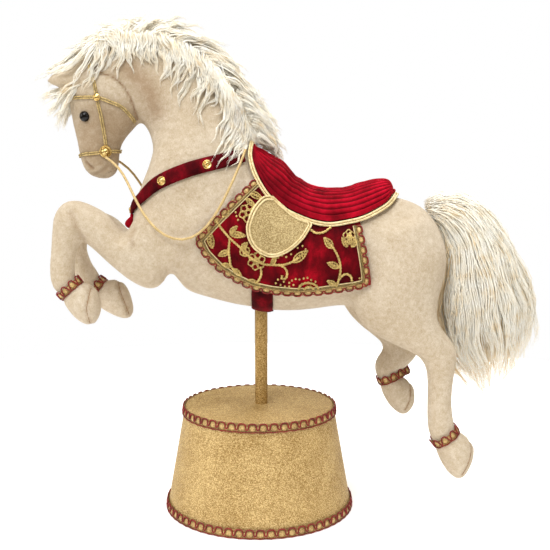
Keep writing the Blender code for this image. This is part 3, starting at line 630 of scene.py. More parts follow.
class Torso:
    """The barrel of the body, unrolled: x along it and a lean from straight up."""

    def __init__(self, skin, low, high):
        self.xs = np.linspace(low, high, 110)
        self.leans = np.radians(np.linspace(-140, 140, 141))
        self.table = np.zeros((len(self.xs), len(self.leans), 6))
        for i, x in enumerate(self.xs):
            for k, lean in enumerate(self.leans):
                out = np.array((0, math.sin(lean), math.cos(lean)))
                start = np.array((x, 0, BARREL_HEIGHT)) + out * OUTSIDE
                self.table[i, k] = np.concatenate(skin.hit(start, -out))

    def at(self, x, lean):
        """The place and the normal at x and a lean."""
        i = np.clip((x - self.xs[0]) / (self.xs[1] - self.xs[0]), 0, len(self.xs) - 1.001)
        k = np.clip((lean - self.leans[0]) / (self.leans[1] - self.leans[0]), 0, len(self.leans) - 1.001)
        a, b = int(i), int(k)
        s, t = i - a, k - b
        low, high = ((1 - t) * row[0] + t * row[1] for row in self.table[a : a + 2, b : b + 2])
        mixed = (1 - s) * low + s * high
        return mixed[:3], mixed[3:] / norm(mixed[3:])

    def lean_at(self, x, z):
        """The lean at which the barrel's right side is as high as z."""
        i = int(round((x - self.xs[0]) / (self.xs[1] - self.xs[0])))
        half = len(self.leans) // 2
        heights = self.table[min(max(i, 0), len(self.xs) - 1), half:, 2]
        return float(np.interp(-z, -np.minimum.accumulate(heights), self.leans[half:]))


# ---- cloth on the body
def cloth_grid(name, place, columns, rows, groove=None):
    """An open sheet of columns x rows faces, with its corners at place(u, v), for u from 0 to 1
    and v from -1 to 1. groove(u, v) says how much painted shade a corner gets."""
    bm = bmesh.new()
    bmesh.ops.create_grid(bm, x_segments=columns, y_segments=rows, size=0.5)
    mark = bm.verts.layers.float.new("groove") if groove else None
    for vert in bm.verts:
        u, v = vert.co.x + 0.5, vert.co.y * 2
        if groove:
            vert[mark] = groove(u, v)
        vert.co = Vector(place(u, v))
    bmesh.ops.recalc_face_normals(bm, faces=bm.faces)
    return mesh_object(name, bm)


def on_skin(skin, route, count):
    """Places, normals and crosswise directions along a route that hugs the skin."""
    found = [skin.nearest(spot) for spot in spaced(route, count)]
    places, normals = (np.array(part) for part in zip(*found))
    return places, normals, unit(np.cross(np.gradient(places, axis=0), normals))


def vectors(points, side):
    return np.array([(x, -side * y, z) for x, y, z in points]) * MM


def both_sides(points):
    """A left-side route joined with its mirror, from the right end to the left end."""
    left, right = (through(vectors(points, side), 6) for side in SIDES)
    return np.vstack([right[:0:-1], left])


def strap(name, skin, route, width, lift, thickness, count, columns=8):
    """A soft ribbon along a route, with crowned edges."""
    places, normals, across = on_skin(skin, route, count)

    def place(u, v):
        k = min(int(round(u * (count - 1))), count - 1)
        foot, up = skin.nearest(places[k] + across[k] * width / 2 * v)
        up = up + normals[k]
        up /= norm(up)
        return foot + up * (lift + thickness * (1 - abs(v) ** 6))

    obj = cloth_grid(name, place, count - 1, columns)
    modify(obj, "SOLIDIFY", thickness=1.0 * MM, offset=-1)
    return settle(obj)


# ---- blanket, saddle and flaps
BLANKET_HEM = [
    (-60, 276), (-52, 261), (-38, 247), (-23, 237), (-6, 229), (13, 225), (35, 223),
    (57, 224), (79, 227), (96, 229), (106, 231),
]
BLANKET_FRONT = [(223, -59), (277, -59), (332, -3), (345, 9)]
BLANKET_BACK = [(223, 107), (239, 107), (258, 103), (290, 97), (320, 95)]
SADDLE_HEM = [
    (-11, 357), (-8, 348), (-4, 336), (3, 323), (12, 311), (25, 301), (39, 294),
    (54, 289), (68, 287), (83, 289), (98, 292), (112, 298), (123, 304), (131, 311), (135, 315),
]
SADDLE_TOP = [
    (-11, 373), (0, 369), (13, 362), (19, 355), (28, 344), (43, 331), (59, 325),
    (74, 324), (89, 325), (104, 330), (119, 333), (126, 332.5), (130, 329), (134, 320),
]
SADDLE_X = (-9 * MM, 134 * MM)
hem_height = smooth_line(SADDLE_HEM)
top_height = smooth_line(SADDLE_TOP)
SADDLE_RIM = 2.0 * MM
BLANKET_LIFT = 1.4 * MM
BLANKET_TOP = 3.4 * MM
UPPER_LIFT = 4.2 * MM
RIBS = 9
RIB_END = 0.9
RIB_DEPTH = 2.0 * MM
PIPING_RADIUS = 1.2 * MM


def straight(line, at):
    line = np.array(line, float)
    return float(np.interp(at, line[:, 0], line[:, 1]))


def blanket_place(torso, lift):
    """The blanket's footprint: u from its front to its back edge, v across, at a lift."""
    def place(u, v):
        hem_x = BLANKET_HEM[0][0] + (BLANKET_HEM[-1][0] - BLANKET_HEM[0][0]) * u
        z = straight(BLANKET_HEM, hem_x) * MM
        x = hem_x * MM
        for _ in range(6):
            point, _ = torso.at(x, v * torso.lean_at(x, z))
            front = straight(BLANKET_FRONT, point[2] / MM)
            x = (front + (straight(BLANKET_BACK, point[2] / MM) - front) * u) * MM
        point, normal = torso.at(x, v * torso.lean_at(x, z))
        ripple = 0.5 * MM * noise.noise(Vector(point) * 45)
        return point + normal * (lift + ripple)

    return place


def make_blanket(torso):
    """The velvet cloth, and its size along the hem and across the back."""
    place = blanket_place(torso, BLANKET_LIFT)
    obj = cloth_grid("blanket_velvet", place, 70, 110)
    modify(obj, "SOLIDIFY", thickness=BLANKET_TOP - BLANKET_LIFT, offset=1)
    piece(settle(obj), VELVET, "red_velvet", "blanket")
    hem = [place(u, -1) for u in np.linspace(0, 1, 30)]
    across = [place(0.5, v) for v in np.linspace(-1, 1, 60)]
    return obj, (length_of(hem), length_of(across))


def saddle_x(u):
    front, back = SADDLE_X
    return front + (back - front) * u


def saddle_spot(torso, u, v):
    """The skin under the saddle: u from front to back, v across from hem to hem."""
    x = saddle_x(u)
    z = hem_height(x / MM) * MM + 1.7 * MM
    return torso.at(x, v * torso.lean_at(x, z))


def make_saddle(torso):
    """A padded seat, crowned across and sewn in channels from front to back."""
    def height(u, v):
        x = saddle_x(u)
        crown, normal = torso.at(x, 0)
        high = (top_height(x / MM) * MM - crown[2]) * max(normal[2], 0.5)
        return SADDLE_RIM + max(high - UPPER_LIFT - SADDLE_RIM, 0) * (1 - abs(v) ** 2.6)

    def on_seat(u, v):
        """Closer rows near the edges, where the seat turns down."""
        return 0.5 - 0.5 * math.cos(math.pi * u), math.sin(math.pi / 2 * v)

    def valley(u, v):
        """How deep a place lies between the ribs, from 0 to 1."""
        inside = min(1, max(0, (RIB_END - abs(v)) * 30 + 0.5)) * min(1, u * 14, (1 - u) * 14)
        return (1 - abs(math.sin(math.pi * RIBS * v)) ** 0.6) * inside

    def place(u, v):
        u, v = on_seat(u, v)
        point, normal = saddle_spot(torso, u, v)
        pucker = 0.35 * MM * noise.noise(Vector(point) * 240)
        return point + normal * (UPPER_LIFT + height(u, v) - RIB_DEPTH * valley(u, v) + pucker)

    # Painted shade: dark in the valleys between the ribs, and darker low down at the front
    def groove(u, v):
        u, v = on_seat(u, v)
        shade = 0.6 * min(1, max(0, abs(v) - 0.5) / 0.35) * min(1, max(0, 0.6 - u) / 0.4)
        return min(1, max(valley(u, v) * 1.25, shade))

    obj = cloth_grid("saddle_seat", place, 70, 164, groove)
    modify(obj, "SOLIDIFY", thickness=1.6 * MM, offset=-1)
    piece(settle(obj), SEAT, "red_velvet", "saddle")


def saddle_border(torso, skin, out):
    """A loop of points and normals on the skin, a little outside the saddle."""
    shares = [k / 40 for k in range(40)]
    around = [(u, -1) for u in shares] + [(1, 2 * u - 1) for u in shares[::2]]
    around += [(1 - u, 1) for u in shares] + [(0, 1 - 2 * u) for u in shares[::2]]
    loop = [saddle_spot(torso, u, v) for u, v in around]
    loop = [a for a, b in zip(loop, loop[-1:] + loop) if norm(a[0] - b[0]) > 0.5 * MM]
    found = []
    for before, (point, normal), after in zip(loop[-1:] + loop, loop, loop[1:] + loop[:1]):
        away = np.cross(after[0] - before[0], normal)
        found.append(skin.nearest(point + away / norm(away) * out))
    return found


def make_piping(torso, skin):
    """A cord round the saddle, and a thinner and lower one outside it."""
    for name, out, lift, radius, sides in (
        ("saddle_edge_cord", PIPING_RADIUS + 0.9 * MM, PIPING_RADIUS, PIPING_RADIUS * 0.95, 10),
        ("saddle_edge_under_cord", PIPING_RADIUS * 2 + 1.7 * MM, 0.4 * MM, PIPING_RADIUS * 0.85, 8),
    ):
        border = saddle_border(torso, skin, out)
        loop = [point + normal * (UPPER_LIFT + lift) for point, normal in border]
        line = spaced([*loop, loop[0]], 201)[:-1]
        for _ in range(6):
            line = (np.roll(line, 1, 0) + line * 2 + np.roll(line, -1, 0)) / 4
        corded(name, "saddle_piping", SATIN_CORD, [line], radius, sides, closed=True)


FLAP = [
    (12, 312), (4, 312), (-4, 303), (-8, 293), (-9.5, 285), (-7, 275), (0, 266), (13, 260.5),
    (27, 264.5), (39, 273), (45, 280), (49, 287.5), (40, 291), (31, 296), (22, 303),
]
FLAP_MIDDLE = np.array((19, 281)) * MM
FLAP_LIFT = 4.4 * MM


def ring_of(bm, spots):
    """New corners at the spots, joined by edges in a closed ring."""
    verts = [bm.verts.new(spot) for spot in spots]
    return [bm.edges.new(pair) for pair in zip(verts, verts[1:] + verts[:1])]


def make_flap(skin, side):
    """A half-oval leaf of glitter cloth with two cords round it."""
    closed = through(np.array(FLAP + FLAP[:1], float) * MM, 4)[:-1]

    def outline(share, lift):
        """The leaf's outline at a share of its size, on the skin at a lift above the leaf's own."""
        spots = FLAP_MIDDLE + (closed - FLAP_MIDDLE) * share
        return [skin.above(*spot, side, FLAP_LIFT + lift) for spot in spots]

    bm = bmesh.new()
    shares = np.linspace(0.04, 1, 12)
    rings = [ring_of(bm, outline(share, 0.5 * MM * (1 - share**4))) for share in shares]
    for a, b in zip(rings, rings[1:]):
        bmesh.ops.bridge_loops(bm, edges=a + b)
    middle = bm.faces.new([edge.verts[0] for edge in rings[0]])
    bmesh.ops.recalc_face_normals(bm, faces=bm.faces)
    if middle.normal.y * side < 0:
        bmesh.ops.reverse_faces(bm, faces=bm.faces)
    name = SIDES[side]
    leaf = mesh_object(name + "_flap_leaf", bm)
    modify(leaf, "SOLIDIFY", thickness=1.2 * MM, offset=1)
    piece(settle(leaf), FLAP_GLITTER, "gold_glitter", name + "_flap")
    lines = [outline(1.02, 1.3 * MM), outline(0.93, 1.7 * MM)]
    corded(name + "_flap_cord", name + "_flap", SATIN_CORD, lines, 0.95 * MM, 8, closed=True)


# ---- straps, cords and studs
COLLAR = [
    (-124, 0, 304), (-122, -12, 306), (-115, -25, 313), (-103, -34, 324),
    (-90, -38, 331), (-76, -41, 337), (-62, -42, 342), (-48, -42, 346),
    (-34, -41, 350), (-21, -37, 354), (-12, -31, 357),
]
GIRTH = [(3, 0, 201.5), (3, -14, 202.5), (3, -28, 206), (3, -38, 211.5), (3, -44, 219), (4, -48, 228)]
BROWBAND = [
    (-186, 0, 410), (-180, -14, 410), (-168, -21, 410), (-154, -24, 409.5), (-143, -23, 406),
    (-132, -19, 401), (-124, -15, 393), (-119.5, -10, 386),
]
CHEEKPIECE = [
    (-153.5, -24, 405.5), (-151.5, -22, 396), (-150, -19, 383), (-149, -16, 372), (-148, -14.5, 360),
]
CROWNPIECE = [
    (-165, 0, 458), (-163.5, -12, 449), (-160, -19, 435), (-156, -23, 422), (-154.2, -24, 411),
]
NOSEBAND = [(-179, 0, 354), (-172, -9, 356), (-160, -14, 357), (-148, -14, 358.5), (-139, 0, 360)]
REIN = [
    (-147.5, -21, 353), (-139, -25, 351), (-129, -31, 339), (-120, -40, 320), (-110, -49, 302),
    (-98, -54, 286), (-85, -56, 276), (-71, -57, 272), (-59, -57, 275.5), (-47, -57, 287),
    (-37, -56, 302), (-28, -54, 320), (-20, -49, 338), (-15, -42, 350), (-12, -34, 360),
]
REIN_DIAMETER = 2.5 * MM
REIN_LIFT = 5.6 * MM
REIN_POINTS = 26
# The bridle's cords, which lie in pairs: the radius of one, and how far it is from the pair's middle
TWIN_RADIUS, TWIN_GAP = 0.75 * MM, 0.95 * MM


def make_rein(skin, side):
    """A limp cord from the bit ring over the shoulder to the saddle's front."""
    points = spaced(through(vectors(REIN, side), 6), REIN_POINTS)
    for _ in range(6):
        pushed = points.copy()
        for k, point in enumerate(points):
            place, normal = skin.nearest(point)
            if (point - place) @ normal < REIN_LIFT:
                pushed[k] = place + normal * REIN_LIFT
        points = pushed.copy()
        points[1:-1] = pushed[1:-1] * 0.6 + (pushed[:-2] + pushed[2:]) * 0.2
    name = SIDES[side] + "_rein"
    obj = corded(name + "_cord", name, REIN_CORD, [points], REIN_DIAMETER / 2, 8)
    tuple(points[0])
    length_of(points)


def twin_cords(name, skin, route, node, count=60):
    """Two cords side by side along a route on the skin."""
    places, normals, across = on_skin(skin, route, count)
    lines = [places + normals * (TWIN_RADIUS + 0.5 * MM) + across * TWIN_GAP * end for end in (-1, 1)]
    corded(name, node, BRIDLE_CORD, lines, TWIN_RADIUS, 8)


def make_tack(skin):
    """The girth, the bridle's cords and the collar, which it returns."""
    collar = strap("collar_velvet", skin, both_sides(COLLAR), 13 * MM, 1.4 * MM, 1.5 * MM, 120)
    piece(collar, STRAP_VELVET, "red_velvet", "collar")
    girth = strap("girth_velvet", skin, both_sides(GIRTH), 20 * MM, 1.0 * MM, 1.3 * MM, 70, 12)
    piece(girth, STRAP_VELVET, "red_velvet", "girth")
    twin_cords("browband_cord", skin, both_sides(BROWBAND), "browband", 90)
    twin_cords("crown_cord", skin, both_sides(CROWNPIECE), "crownpiece", 80)
    twin_cords("nose_cord", skin, both_sides(NOSEBAND), "noseband", 80)
    for side, name in SIDES.items():
        route = through(vectors(CHEEKPIECE, side), 6)
        twin_cords(name + "_cheek_cord", skin, route, name + "_cheekpiece")
    return collar


def spun(profile, steps):
    """A turned solid about Z; the profile starts and ends on the axis."""
    bm = bmesh.new()
    verts = [bm.verts.new((r, 0, z)) for r, z in profile]
    edges = [bm.edges.new(pair) for pair in zip(verts, verts[1:])]
    bmesh.ops.spin(
        bm, geom=verts + edges, axis=(0, 0, 1), cent=(0, 0, 0), steps=steps, angle=math.tau,
        use_merge=True,
    )
    bmesh.ops.remove_doubles(bm, verts=bm.verts, dist=1e-5)
    bmesh.ops.recalc_face_normals(bm, faces=bm.faces)
    return bm


def button(name, node, skin, spot, side, profile, lift, finish=METAL, slot="gold_metal", steps=32):
    """A turned button whose back faces the skin; its spot is given for the left side."""
    point, normal = skin.nearest(vectors([spot], side)[0])
    bm = spun([(r * MM, z * MM) for r, z in profile], steps)
    turn = Vector(normal).to_track_quat("Z", "Y").to_matrix().to_4x4()
    bmesh.ops.transform(bm, matrix=Matrix.Translation(point + normal * lift) @ turn, verts=bm.verts)
    piece(mesh_object(name, bm), finish, slot, node)


# Profiles in millimetres of what is turned, as (radius, height), and a stud's lift off the skin
EYE = [(0, 3.9), (1.8, 3.6), (3.5, 2.7), (4.7, 1.4), (5.2, 0), (5.0, -1), (0, -1)]
STUD = [
    (0, 1.4), (0.45, 1.5), (0.6, 2.9), (1.3, 2.7), (2.0, 2.1), (2.5, 1.3), (2.9, 1.1), (3.4, 1.6),
    (4.0, 1.5), (4.5, 0.8), (4.6, 0), (0, 0),
]
BIT = [
    (0, 2.6), (0.6, 2.8), (0.8, 4.5), (1.6, 4.2), (2.7, 3.4), (3.6, 2.3), (4.1, 1.5), (4.5, 1.3),
    (5.0, 1.9), (5.6, 1.7), (6.0, 0.8), (5.9, -0.4), (0, -0.4),
]
BROW = [(0, 2.9), (1.4, 2.6), (2.4, 1.9), (2.8, 1.1), (3.4, 0.9), (3.6, 0.3), (3.6, 0), (0, 0)]
TASSEL = [
    (0, 15.4), (1.9, 15.1), (3.2, 14.4), (4.3, 12.8), (4.6, 11.2), (4.2, 8.8), (3.2, 6.6),
    (2.1, 4.6), (1.8, 3.6), (2.2, 2.4), (2.0, 1.0), (0, 0.2),
]
STUD_LIFT = 2.9 * MM


def make_buttons(skin):
    """The eyes, the bridle's rosettes and the collar's studs."""
    for side, name in SIDES.items():
        button(name + "_eye_bead", name + "_eye", skin, (-169.5, -24, 391), side, EYE, 0.6 * MM,
               GLASS, "black_glass", 40)
        button(name + "_brow_stud", name + "_brow_rosette", skin, (-154, -26, 409.5), side, BROW,
               2.2 * MM)
        button(name + "_bit_stud", name + "_bit_rosette", skin, (-148, -18, 358.5), side, BIT,
               2.6 * MM)
        for number, spot in ((1, (-91.5, -40, 330.5)), (2, (-48, -44, 346))):
            button(f"{name}_collar_stud_{number}", f"{name}_stud_{number}", skin, spot, side, STUD,
                   STUD_LIFT)
    button("front_collar_stud", "front_stud", skin, (-126, 0, 302), LEFT, STUD, STUD_LIFT)


def make_tassel():
    bm = spun([(r * 1.2 * MM, -z * MM) for r, z in TASSEL[::-1]], 24)
    turn = Matrix.Rotation(math.radians(16), 4, "Y")
    place = Matrix.Translation((-125.5 * MM, 0, 298 * MM)) @ turn
    bmesh.ops.transform(bm, matrix=place, verts=bm.verts)
    piece(mesh_object("chest_drop", bm), SEAT, "red_velvet", "chest_tassel")


# ---- gimp braid
PITCH = 10 * MM
# One loop of the braid: a share along its cell and how far out, from -1 to 1
LOOP = [
    (0.0, -0.4), (0.08, -0.3), (0.12, 0.1), (0.16, 0.6), (0.27, 0.95), (0.5, 1.0),
    (0.73, 0.95), (0.84, 0.6), (0.88, 0.1), (0.92, -0.3),
]
# The braid's gold pads: a share along a cell, how far out, half its length and width, and height
PADS = ((0.5, 0.02, 3.2, 0.68, 0.9), (0.0, -0.2, 1.7, 0.6, 0.8))
# The narrow braid round the ankles, with rounder scallops
SCALLOP = [
    (0.0, -0.6), (0.1, -0.3), (0.18, 0.3), (0.3, 0.85), (0.5, 1.0), (0.7, 0.85), (0.82, 0.3), (0.9, -0.3),
]
SCALLOP_PADS = ((0.5, 0.08, 2.7, 0.62, 0.8), (0.0, -0.1, 1.3, 0.5, 0.7))
RIBBON_THICKNESS = 0.8 * MM


def gimp(name, places, normals, across, width, closed, node, pitch=PITCH, loop=LOOP, pads=PADS):
    """Looped braid along a line: a red cord that squares round gold pads, and gold cords."""
    gaps = norm(np.diff(places, axis=0), axis=1)
    total = gaps.sum() + (norm(places[0] - places[-1]) if closed else 0)
    cells = max(2, int(round(total / pitch)))
    stack = [places, normals, across, np.cross(across, normals)]
    lengths = np.r_[0, np.cumsum(gaps)]
    if closed:
        stack = [np.vstack([a, a[:1]]) for a in stack]
        lengths = np.r_[lengths, total]
    half = width / 2

    def frame_at(share):
        at = min(max(share, 0), 1) * total
        return [sampled(at, lengths, rows) for rows in stack]

    def spot(cell, step, out, up):
        place, normal, side, _ = frame_at((cell + step) / cells)
        return place + side * out * half + normal * up

    loops = [spot(cell, step, out, 1.0 * MM) for cell in range(cells) for step, out in loop]
    edge = [
        spot(cell, step, -0.9 + 0.07 * math.cos(math.tau * step), 0.6 * MM)
        for cell in range(cells) for step in (0, 0.25, 0.5, 0.75)
    ]
    shape = {"slot": "red_gold_braid", "closed": closed}
    corded(name + "_loops", node, BRAID_RED, [loops], 0.7 * MM, **shape)
    corded(name + "_edge", node, BRAID_RED if closed else BRAID_GOLD, [edge], 0.5 * MM, **shape)
    bm = bmesh.new()
    for cell in range(cells):
        for step, out, long, wide, tall in pads:
            place, normal, side, run = frame_at((cell + step) / cells)
            turn = Matrix((run, side, normal)).transposed().to_4x4()
            size = Matrix.Diagonal((long * MM, half * wide, tall * MM, 1))
            at = Matrix.Translation(place + side * out * half)
            bmesh.ops.create_icosphere(bm, subdivisions=2, radius=1, matrix=at @ turn @ size)
    piece(mesh_object(name + "_pads", bm), BRAID_GOLD, "red_gold_braid", node)


def cuff(name, places, normals, across, width, node):
    """A closed ribbon round something, with a crowned outside."""
    bm = bmesh.new()
    section = [(-1, 0), (-1, 0.7), (-0.7, 1), (0.7, 1), (1, 0.7), (1, 0)]
    rings = []
    for place, normal, side in zip(places, normals, across):
        rise = normal * RIBBON_THICKNESS
        rings.append(ring_of(bm, [place + side * width / 2 * out + rise * up for out, up in section]))
    for a, b in zip(rings, rings[1:] + rings[:1]):
        bmesh.ops.bridge_loops(bm, edges=a + b)
    bmesh.ops.recalc_face_normals(bm, faces=bm.faces)
    piece(mesh_object(name, bm), BRAID_BACK, "red_gold_braid", node)


def make_ankles(skin):
    """A ribbon and a narrow braid round each leg, where rays from its middle meet the skin."""
    for name, (middle, axis, _) in ANKLES.items():
        centre = np.array(middle) * MM
        axis = np.array(axis) / norm(axis)
        first = np.cross(axis, (0, 1, 0))
        second = np.cross(axis, first)
        places, outs = [], []
        for turn in np.arange(48) / 48 * math.tau:
            out = first * math.cos(turn) + second * math.sin(turn)
            feet = [skin.hit(centre + axis * 3.4 * MM * end, out)[0] for end in (-1, 0, 1)]
            reach = max((foot - centre) @ out for foot in feet)
            places.append(centre + out * (reach + 0.3 * MM))
            outs.append(out)
        places, outs = np.array(places), np.array(outs)
        across = np.tile(-axis, (48, 1))
        node = name + "_ankle_braid"
        cuff(name + "_ankle_cuff", places + axis * 0.8 * MM, outs, across, 7 * MM, node)
        gimp(name + "_ankle", places + outs * 0.5 * MM, outs, across, 9 * MM, True, node,
             9 * MM, SCALLOP, SCALLOP_PADS)


def make_seams(skin):
    """A darker cord half sunk along the cheek seams and down the hooves, standing in for the shade in the
    seams.
    """
    lines = []
    for line, side, *_ in SEWN:
        fine = through(np.array(line, float) * MM, 4)
        fine = spaced(fine, int(length_of(fine) / (1.4 * MM)))
        for start, way in SEAM_RAYS[side]:
            found = [skin.hit((x, start, z), (0, way, 0)) for x, z in fine]
            lines.append([place - normal * 0.1 * MM for place, normal in filter(None, found)])
    corded("seam_shade_cord", "horse_body", SEAM_SHADE_CORD, lines, 0.36 * MM, slot="cream_plush")


# ---- embroidery and edging
STEMS = [
    [(-40, 294), (-34, 286), (-26, 277), (-17, 269), (-10, 262), (-1, 256), (7, 253), (16, 252.5),
     (24, 252.5), (32, 255), (38, 259)],
    [(-26, 277), (-27, 266), (-26, 257), (-25, 251), (-20, 246)],
    [(19, 253), (25, 250), (27.5, 245), (26, 240), (22.5, 240), (23, 243)],
    [(3, 251), (3.5, 244), (1, 238), (-2, 236)],
    [(74, 232), (76, 239), (77.5, 248), (76, 257), (72, 265), (68, 270)],
    [(76, 239), (80, 243), (84, 244), (88, 241.5), (89, 237.5)],
    [(-28, 304), (-27, 300), (-30, 296.5), (-34, 297)],
    [(49, 283), (54, 280), (62, 280.5), (69, 285)],
    [(38, 229), (40.5, 234), (47, 236), (54, 234), (57.5, 229.5)],
    [(43, 229), (45, 231.5), (48, 232.5), (51, 231.5), (53, 229.5)],
]
# Leaves: where each starts, where it points to, and its width
LEAVES = [
    ((-26, 281), (-11, 279), 5), ((-26, 282), (-19, 288), 3.5), ((-27, 265), (-37, 261), 5),
    ((-26, 251), (-34, 253), 4), ((-23, 248.5), (-15, 242), 4.5), ((33, 255), (46.5, 265), 6.5),
    ((-1, 236), (-10, 238), 4), ((-2, 235.5), (3, 231.5), 3.5), ((70, 267), (62, 276), 6),
    ((76, 250), (65, 254), 5), ((74, 233), (65, 238), 4.5), ((-43, 268), (-47, 285), 6),
    ((-9, 319), (4, 311), 5), ((-12, 313), (-2, 304), 3.5), ((13, 252), (17, 261), 3.5),
    ((-15, 268), (-9, 273), 4), ((84, 268), (79, 276), 4), ((88, 268), (94, 275), 4),
    ((86, 270), (87, 281), 4),
]
# Flowers: the middle, the radius and the number of petals
FLOWERS = [((-1, 256), 8.5, 6), ((-9, 300), 9, 6), ((86, 277), 6, 5), ((-12, 265), 5, 4)]
BEADS = [
    [(19, 239), (24.5, 237), (29.5, 236), (32, 238), (35.5, 239.5), (39, 239), (43, 240), (46.5, 240.5),
     (50, 238.5), (54, 237)],
    [(17, 235.5), (21.5, 234), (25.5, 232.5), (29.5, 232.5), (33.5, 234)],
    [(90, 234.5), (93.5, 235), (97, 235.5), (97, 239.5)],
    [(-24, 311), (-23.5, 307.5), (-22.5, 304), (-21, 300.5), (-20, 297), (-18.5, 293.5)],
    [(-20, 312), (-19, 308.5)],
    [(19, 259), (22.5, 261), (26.5, 259.5), (31, 262)],
    [(37, 267.5), (41.5, 269), (44.5, 266)],
]


def leaf_lines(start, end, width):
    """A pointed leaf: its outline and a vein that winds from side to side inside it."""
    start, end = np.array(start, float), np.array(end, float)
    run = end - start
    side = np.array((-run[1], run[0])) / norm(run) * width / 2
    shares = np.linspace(0, 1, 9)
    belly = np.sin(math.pi * shares**0.8)
    upper = start + run * shares[:, None] + side * belly[:, None]
    lower = start + run * shares[:, None] - side * belly[:, None]
    turns = np.linspace(0.08, 0.9, 11)
    swing = np.sin(math.pi * turns**0.8) * np.where(np.arange(11) % 2, 0.62, -0.62)
    vein = start + run * turns[:, None] + side * swing[:, None]
    return [np.vstack([upper, lower[-2::-1]]), vein]


def flower_lines(middle, radius, petals):
    """Petals as open loops that meet at the middle, and a ring there."""
    middle = np.array(middle, float)
    lines = []
    for k in range(petals):
        turn = math.tau * (k + 0.3) / petals
        way = np.array((math.cos(turn), math.sin(turn)))
        base, tip = middle + radius * 0.3 * way, middle + radius * way
        lines.append(leaf_lines(base, tip, radius * 4.6 / petals)[0])
    ring = np.arange(9) / 8 * math.tau
    lines.append(middle + radius * 0.24 * np.stack([np.cos(ring), np.sin(ring)], 1))
    return lines


def stitched(skin, lines, side, lift, step):
    """Side-view lines laid on the blanket's side, with a stitch every step of so many millimetres."""
    laid = []
    for line in lines:
        fine = through(line, 4) * MM
        fine = spaced(fine, max(4, int(length_of(fine) / (step * MM))))
        laid.append([skin.above(x, z, side, lift) for x, z in fine])
    return laid


def couched(count):
    """Swellings along a couched thread."""
    return 1 + 0.26 * np.where(np.arange(count) % 2, 1, -1)


def make_embroidery(skin):
    """Corded stems, finer corded leaves and flowers, and rows of beads on both sides."""
    thick, fine, bm = [], [], bmesh.new()
    petals = [line for spec in FLOWERS for line in flower_lines(*spec)]
    leaves = [line for spec in LEAVES for line in leaf_lines(*spec)]
    for side in SIDES:
        thick += stitched(skin, STEMS, side, BLANKET_TOP + 0.6 * MM, 1.3)
        uneven = [scattered(line, 0.3) for line in petals + leaves]
        fine += stitched(skin, uneven, side, BLANKET_TOP + 0.5 * MM, 1.1)
        for x, z in (spot for row in BEADS for spot in row):
            spot = skin.above(x * MM, z * MM, side, BLANKET_TOP + 0.35 * MM)
            at = Matrix.Translation(spot)
            bmesh.ops.create_icosphere(bm, subdivisions=2, radius=1.05 * MM, matrix=at)
    corded("embroidered_stems", "blanket", EMBROIDERY, thick, 1.15 * MM, radii=couched)
    corded("embroidered_leaves", "blanket", EMBROIDERY, fine, 0.76 * MM, 4, radii=couched)
    piece(mesh_object("embroidered_beads", bm), EMBROIDERY, "gold_cord", "blanket")


EDGE_POINTS = 220


def blanket_border():
    """The blanket's edge in the side view: down its front, along its hem and up its back."""
    front = [(x, z) for z, x in BLANKET_FRONT[:0:-1]]
    back = [(x, z) for z, x in BLANKET_BACK[1:]]
    line = spaced(front + BLANKET_HEM + back, 320)
    ease(line, 3)
    return line


def edge_rail(skin, side, depth, lift):
    """Places, normals and outward directions along the visible edge, this far in from it."""
    border = blanket_border()
    run = unit(np.gradient(border, axis=0))
    inward = np.stack([-run[:, 1], run[:, 0]], 1)
    line = border + inward * depth
    gaps = norm(line[:, None] - border[None], axis=2).min(1)
    below = np.array([z < hem_height(x) - 3.2 for x, z in line])
    keep = below & (gaps > depth - 0.3)
    rail = []
    for x, z, in_x, in_z in spaced(np.c_[line, inward][keep], EDGE_POINTS):
        place, normal = skin.beside(x * MM, z * MM, side)
        out = np.array((-in_x, 0, -in_z))
        out = out - normal * (out @ normal)
        rail.append((place + normal * lift, normal, out / norm(out)))
    return (np.array(part) for part in zip(*rail))


def make_edging(skin):
    """Gimp braid along the blanket's edge on each side, with cords along its inner edge."""
    last = EDGE_POINTS - 1
    for side, name in SIDES.items():
        places, normals, outs = edge_rail(skin, side, 2.6, BLANKET_TOP)

        def ribbon_place(u, v):
            k = int(round(u * last))
            return places[k] + outs[k] * v * 2.5 * MM

        ribbon = cloth_grid(name + "_blanket_ribbon", ribbon_place, last, 2)
        modify(ribbon, "SOLIDIFY", thickness=0.7 * MM, offset=0)
        piece(settle(ribbon), BRAID_BACK, "red_gold_braid", "blanket")
        gimp(name + "_blanket_braid", places + normals * 0.2 * MM, normals, outs, 6.0 * MM, False,
             "blanket")
        for label, depth, radius, finish in (
            ("olive", 6.0, 0.95 * MM, OLIVE_CORD), ("gold", 7.4, 0.55 * MM, SATIN_CORD),
        ):
            line, _, _ = edge_rail(skin, side, depth, BLANKET_TOP + radius * 0.8)
            corded(f"{name}_blanket_{label}_cord", "blanket", finish, [line], radius)


# ---- drum and pole
DRUM_FOOT_RADIUS = 94 * MM
DRUM_TOP_RADIUS = 75.5 * MM
DRUM_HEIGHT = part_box("drum")[1].z
TRIM_HEIGHT = 8.5 * MM


def drum_radius(z):
    return DRUM_FOOT_RADIUS + (DRUM_TOP_RADIUS - DRUM_FOOT_RADIUS) * z / DRUM_HEIGHT


